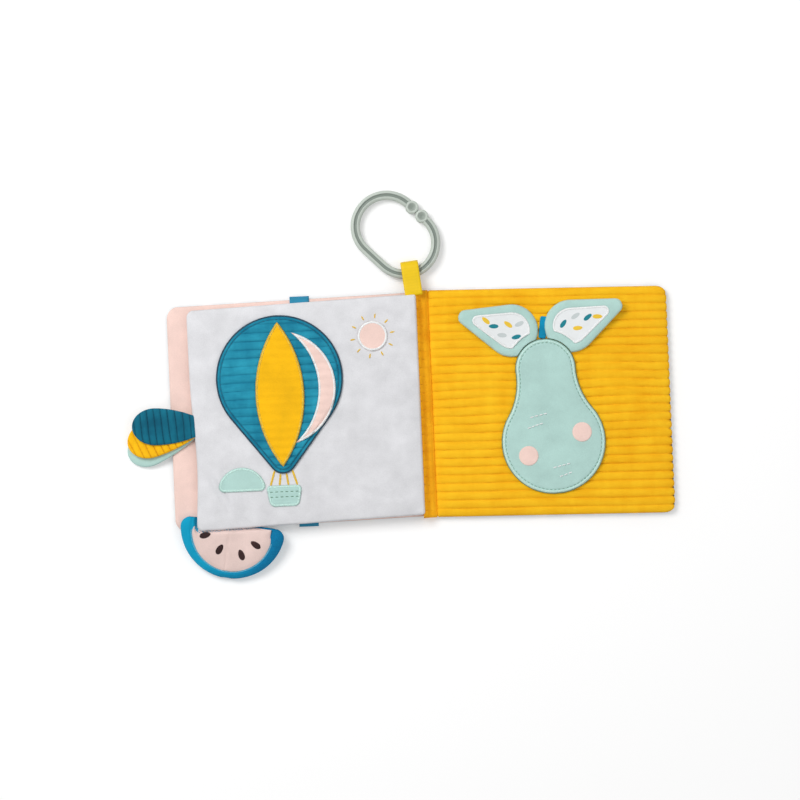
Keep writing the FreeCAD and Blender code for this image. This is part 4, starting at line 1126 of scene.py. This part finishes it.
def inside_pear(x, y, grow):
    """True where a point is within the pear's outline grown by a margin."""
    dx, dy = x - PEAR_LOW[0], y - PEAR_LOW[1]
    along = dx * PEAR_AXIS[0] + dy * PEAR_AXIS[1]
    across = -dx * PEAR_AXIS[1] + dy * PEAR_AXIS[0]
    low = np.hypot(dx, dy) < PEAR_BIG + grow
    high = np.hypot(x - PEAR_HIGH[0], y - PEAR_HIGH[1]) < PEAR_SMALL + grow
    return low | high | (np.abs(across) < pear_half(along)) & (along > 0) & (along < PEAR_LENGTH)


def clear_of_pear(form, way, grow):
    """Moves the points that lie within the grown pear outward along a flap, in small steps."""
    for _ in range(60):
        hidden = inside_pear(form.x, form.y, grow)
        if not hidden.any():
            break
        form.x = np.where(hidden, form.x + way[0] * 0.4, form.x)
        form.y = np.where(hidden, form.y + way[1] * 0.4, form.y)


def flap(side, turn):
    """A padded leaf, sewn on at the pear's top, with a printed panel inside a plain band."""
    angle = math.radians(turn)
    way = (math.cos(angle), math.sin(angle))
    root = (PEAR_HIGH[0] + PEAR_AXIS[0] * 20.0, PEAR_HIGH[1] + PEAR_AXIS[1] * 20.0)
    big = (root[0] + way[0] * 21.0, root[1] + way[1] * 21.0)
    radius, tip, reach, band = 17.5, 5.0, 32.0, 5.5
    inner_shape = (radius - band, 3.5, reach - 8.2)
    rows = mixed(0.02 - radius, reach + tip - 0.02, 90, 0.5)
    form = Form(rows, even(lambda t: teardrop_half(t, radius, tip, reach), 0.25), 64, origin=big, turn=turn)
    # The sewn end is pulled in to the pear's outline.
    clear_of_pear(form, way, 0.35)
    lift = 4.6 * np.clip((form.along + 6) / 42, 0, 1) ** 1.5
    rise = rounded(form.edge, 5.5)
    bottom = WALE_TOPS + lift
    top = bottom + 2.7 * (0.3 + 0.7 * rise) * rounded(form.edge, 0.9)
    inner = teardrop_inside(form.along, form.across, *inner_shape)
    dent = 0.5 / (1 + np.exp(-inner * 2.0))
    top = top - dent + 0.12 * ripple(form.x, form.y, 20, 71 + int(turn))
    piece = form.mesh("flap_%s_cloth" % side, top, bottom, "back_cover", "mint_velour", "mint_velour")
    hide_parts("leaf_flap_" + side)
    ground = Ground(piece)
    panel_half = even(lambda t: teardrop_half(t, *inner_shape), 0.2)
    panel = Form(mixed(-11.98, 27.28, 60, 0.6), panel_half, 44, origin=big, turn=turn)
    clear_of_pear(panel, way, band)
    cloth = patch("panel_%s_cloth" % side, "leaf_panel_" + side, panel, ground, 0.5, "back_cover", "drop_print",
                  "drop_print", 1.6, lift=0.05)
    edged("panel_%s_edge" % side, panel, cloth, "back_cover", "thread_white", 0.6, 1.5)
    panel_ground = Ground(cloth)
    drops = [(-4.0, 3.4, "drop_teal", 30), (3.5, -3.2, "drop_yellow", -20), (5.5, 4.8, "drop_grey", 10),
             (12.5, 0.6, "drop_teal", 15), (18.5, -1.6, "drop_yellow", -25), (-3.5, -5.5, "drop_grey", 40)]
    for number, (t, s, ink, lean) in enumerate(drops):
        x = big[0] + way[0] * t - way[1] * s
        y = big[1] + way[1] * t + way[0] * s
        if not inside_pear(np.array(x), np.array(y), 7.5):
            drop("drop_%s_%d" % (side, number), x, y, turn + lean, panel_ground, ink)


def teardrop_inside(t, s, big, small, length):
    return np.minimum(teardrop_half(t, big, small, length) - np.abs(s), np.minimum(t + big, length + small - t))


def drop(name, x, y, turn, ground, ink):
    """One printed drop, a flat shape that lies on the cloth's own surface."""
    length, breadth = 3.2, 1.45

    def span(t):
        half = breadth * np.sqrt(np.clip(1 - (t / length) ** 2, 0.001, 1)) * (1 - 0.08 * t / length)
        return -half, half

    form = Form(eased(-length, length, 24), span, 11, origin=(x, y), turn=turn)
    base = ground.height(form.x, form.y, 8.0)
    top = base + 0.02 + 0.05 * rounded(form.edge, 0.3)
    return form.mesh(name, top, base - 0.1, "back_cover", ink, "drop_print")


# The ribbon loop and the ring.

def ribbon():
    """A folded tape whose two ends go into the spine's end."""
    anchor = (-6.4, 87.5, 5.3)
    angle = math.radians(6.0)
    high, fold_end = 4.85, 8.15
    path = [(-15.0, 5.3), (-13.6, 5.9), (-11.0, 5.75), (-8.0, 5.3), (-4.2, high + 0.1), (0.0, high + 0.1),
            (3.4, high)]
    for step in range(1, 10):
        turn = math.pi * step / 10
        path.append((fold_end - 4.3 + 4.3 * math.sin(turn), high * math.cos(turn)))
    path += [(3.4, -high), (0.0, -high - 0.05), (-4.2, -high), (-6.0, -3.9), (-7.2, -2.2), (-8.6, -0.8),
             (-11.0, -0.55)]
    points, heading = resample(path, 0.9)
    columns = 11
    half, cloth = 5.85, 0.35
    lines = []
    for (along, up), (da, du) in zip(points, heading):
        across = np.linspace(-half, half, columns)
        round_edge = np.sqrt(np.clip(1 - (across / (half + 0.2)) ** 16, 0.1, 1))
        sides = []
        for sign in (1, -1):
            offset = sign * cloth * round_edge
            y = along - du * offset
            z = up + da * offset
            bx = anchor[0] + across * math.cos(angle) - y * math.sin(angle)
            by = anchor[1] + across * math.sin(angle) + y * math.cos(angle)
            sides.append(np.stack([bx, by, anchor[2] + z], 1))
        lines.append(np.concatenate([sides[0], sides[1][::-1]]))
    piece = band("ribbon_tape", lines, False, "page_block", "yellow_ribbon", "yellow_ribbon")
    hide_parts("ribbon_loop")
    return piece


def ring_section():
    """The bar's section once round, and how deep in a groove each of its points is."""
    half, corner, groove = 3.05, 2.6, 1.05
    flat = half - corner
    side = [(flat + corner * math.cos(a), flat + corner * math.sin(a)) for a in np.radians(np.linspace(0, 76, 9))]
    hollow = [(groove * math.cos(a), half + groove * math.sin(a)) for a in np.radians(np.linspace(-14, -166, 11))]
    upper = side + hollow + [(-x, z) for x, z in reversed(side)]
    depth = [0.0] * len(side) + [min(1.0, max(0.0, 2.85 - z) / 0.6) for _, z in hollow] + [0.0] * len(side)
    lower = [(-x, -z) for x, z in upper]
    broader = np.array([1.03, 1.0])
    return np.array(upper + lower) * broader, np.array(depth + depth)


def knob_rows(centre):
    """A cupped knob, turned about its own middle."""
    half, radius, cup, sink, soft = 3.05, 4.4, 2.9, 1.7, 1.2
    bowl = (cup ** 2 + sink ** 2) / (2 * sink)
    hollow = [(r, half - sink + bowl - math.sqrt(bowl ** 2 - r ** 2)) for r in np.linspace(0.02, cup, 9)]
    rim = [(radius - soft + soft * math.sin(a), half - soft + soft * math.cos(a))
           for a in np.radians(np.linspace(0, 90, 7))]
    upper = hollow + rim
    profile = np.array(upper + [(r, -z) for r, z in reversed(upper)])
    depth = np.clip((half - np.abs(profile[:, 1])) / sink, 0, 1) * (profile[:, 0] < cup)
    rows = []
    for angle in np.linspace(0, 2 * math.pi, 45)[:-1]:
        x = centre[0] + profile[:, 0] * math.cos(angle)
        y = centre[1] + profile[:, 0] * math.sin(angle)
        rows.append(np.stack([x, y, profile[:, 1]], 1))
    return rows, np.tile(depth * 0.95, len(rows))


def ring():
    """A grooved bar bent to a long ring that ends in two cupped knobs, which meet side by side."""
    radius, straight, knob_step = 20.95, 16.3, 4.45
    lean = math.radians(127.6)
    along = np.array([math.cos(lean), math.sin(lean)])
    out = np.array([along[1], -along[0]])
    near = np.array([0.0, radius])
    far = near + along * straight
    middle = (near + far) / 2 + out * radius
    arc = np.linspace(0, math.pi, 90)[:, None]
    path = np.concatenate([
        [middle - along * (knob_step + 3.3)],
        near + radius * (np.cos(arc) * out - np.sin(arc) * along),
        far + radius * (np.sin(arc) * along - np.cos(arc) * out),
        [middle + along * (knob_step + 3.3)],
    ])
    points, heading = resample(path, 0.9)
    section, depth = ring_section()
    rows = []
    for point, (hx, hy) in zip(points, heading):
        rows.append(np.stack([point[0] + section[:, 0] * hy, point[1] - section[:, 0] * hx, section[:, 1]], 1))
    place, far_end_drop = np.array([-7.1, 87.4, 4.55]), 1.5
    tilt = math.asin(far_end_drop / (2 * radius + straight * math.sin(lean)))
    spin = np.array(Matrix.Rotation(math.radians(7.0), 3, "Z") @ Matrix.Rotation(-tilt, 3, "X"))

    def placed(lines):
        return [line @ spin.T + place for line in lines]

    # The groove marks darken the plastic by painted shade in the bar's grooves and the knobs' cups.
    piece = band("ring_bar", placed(rows), False, "link_ring", "grey_plastic", "grey_plastic",
                 {"groove": np.tile(depth, len(rows))})
    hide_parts("link_ring")
    for number, sign in enumerate((-1, 1)):
        rows, depth = knob_rows(middle + along * knob_step * sign)
        band("ring_knob_%d" % number, placed(rows), True, "link_ring", "grey_plastic", "grey_plastic",
             {"groove": depth})


# The view, the light and the floor.

def camera():
    made = bpy.data.objects.new("camera", bpy.data.cameras.new("camera"))
    bpy.context.scene.collection.objects.link(made)
    made.data.lens = 108
    made.data.sensor_width = 36
    made.location = (-0.0172, 0.0034, 1.61)
    made.rotation_euler = (0, 0, math.radians(-2.5))
    bpy.context.scene.camera = made


def lamp(name, place, size, watts):
    data = bpy.data.lights.new(name, "AREA")
    data.shape = "DISK"
    data.size = size
    data.energy = watts
    made = bpy.data.objects.new(name, data)
    bpy.context.scene.collection.objects.link(made)
    made.location = place
    made.rotation_euler = (-Vector(place)).to_track_quat("-Z", "Y").to_euler()


def either(tree, first, second):
    """The larger of two values in a node tree."""
    node = tree.nodes.new("ShaderNodeMath")
    node.operation = "MAXIMUM"
    tree.links.new(first, node.inputs[0])
    tree.links.new(second, node.inputs[1])
    return node.outputs[0]


def surroundings():
    world = bpy.data.worlds.new("studio")
    bpy.context.scene.world = world
    world.use_nodes = True
    tree = world.node_tree
    rays = tree.nodes.new("ShaderNodeLightPath")
    seen = either(tree, rays.outputs["Is Camera Ray"], rays.outputs["Is Glossy Ray"])
    clear = either(tree, seen, rays.outputs["Is Transmission Ray"])
    level = tree.nodes.new("ShaderNodeMapRange")
    tree.links.new(clear, level.inputs["Value"])
    level.inputs["To Min"].default_value = 0.5
    level.inputs["To Max"].default_value = 1.0
    tree.links.new(level.outputs[0], tree.nodes["Background"].inputs["Strength"])
    tree.nodes["Background"].inputs["Color"].default_value = (1, 1, 1, 1)
    lamp("key", (-0.65, 0.6, 1.1), 0.7, 11.0)
    lamp("fill", (0.7, -0.2, 1.2), 1.2, 3.0)

    points = [(-1500, -1500, -0.1), (1500, -1500, -0.1), (1500, 1500, -0.1), (-1500, 1500, -0.1)]
    mesh = bpy.data.meshes.new("floor")
    mesh.from_pydata([(x * 0.001, y * 0.001, z * 0.001) for x, y, z in points], [], [[0, 1, 2, 3]])
    floor = bpy.data.objects.new("floor", mesh)
    bpy.context.scene.collection.objects.link(floor)
    paper = bpy.data.materials.new("floor_paper")
    paper.use_nodes = True
    tree = paper.node_tree
    surface = tree.nodes["Principled BSDF"]
    surface.inputs["Base Color"].default_value = (0.82, 0.82, 0.82, 1)
    surface.inputs["Roughness"].default_value = 1.0
    surface.inputs["Specular IOR Level"].default_value = 0.0
    surface.inputs["Emission Color"].default_value = (1, 1, 1, 1)
    rays = tree.nodes.new("ShaderNodeLightPath")
    seen = either(tree, rays.outputs["Is Camera Ray"], rays.outputs["Is Glossy Ray"])
    level = tree.nodes.new("ShaderNodeMath")
    level.operation = "MULTIPLY"
    level.inputs[1].default_value = 0.22
    tree.links.new(seen, level.inputs[0])
    tree.links.new(level.outputs[0], surface.inputs["Emission Strength"])
    mesh.materials.append(paper)
    bpy.context.scene.view_settings.view_transform = "Standard"


camera()
surroundings()
page_piece = page()
front = cover_inside(FRONT, "front_cover_inside_cloth", "front_cover_inside", "pink_velour", "front_cover", 5)
cover_outside(FRONT, "front_cover_outside_cloth", "front_cover_outside", "dark_print", "front_cover", 6)
back_inside()
cover_outside(BACK, "back_cover_outside_cloth", "back_cover_outside", "dark_print", "back_cover", 7)
spine()
strap(Ground(front))
tab("tab_teal", "petal_tab_teal", 39.5, -2.5, 1.5, 11.7, "tab_teal_corduroy", "teal_corduroy", True, 3.2)
tab("tab_mustard", "petal_tab_mustard", 44.7, 14.8, 5.0, 10.3, "tab_mustard_corduroy", "mustard_corduroy", True, 3.2)
tab("tab_mint", "petal_tab_mint", 47.8, 23.9, 9.0, 8.9, "mint_velour", "mint_velour", False, 3.0)
seeds(Ground(fruit_slice()))
page_ground = Ground(page_piece)
balloon(page_ground)
small_patches(page_ground)
pear()
flap("left", 162.0)
flap("right", 22.0)
ribbon()
ring()
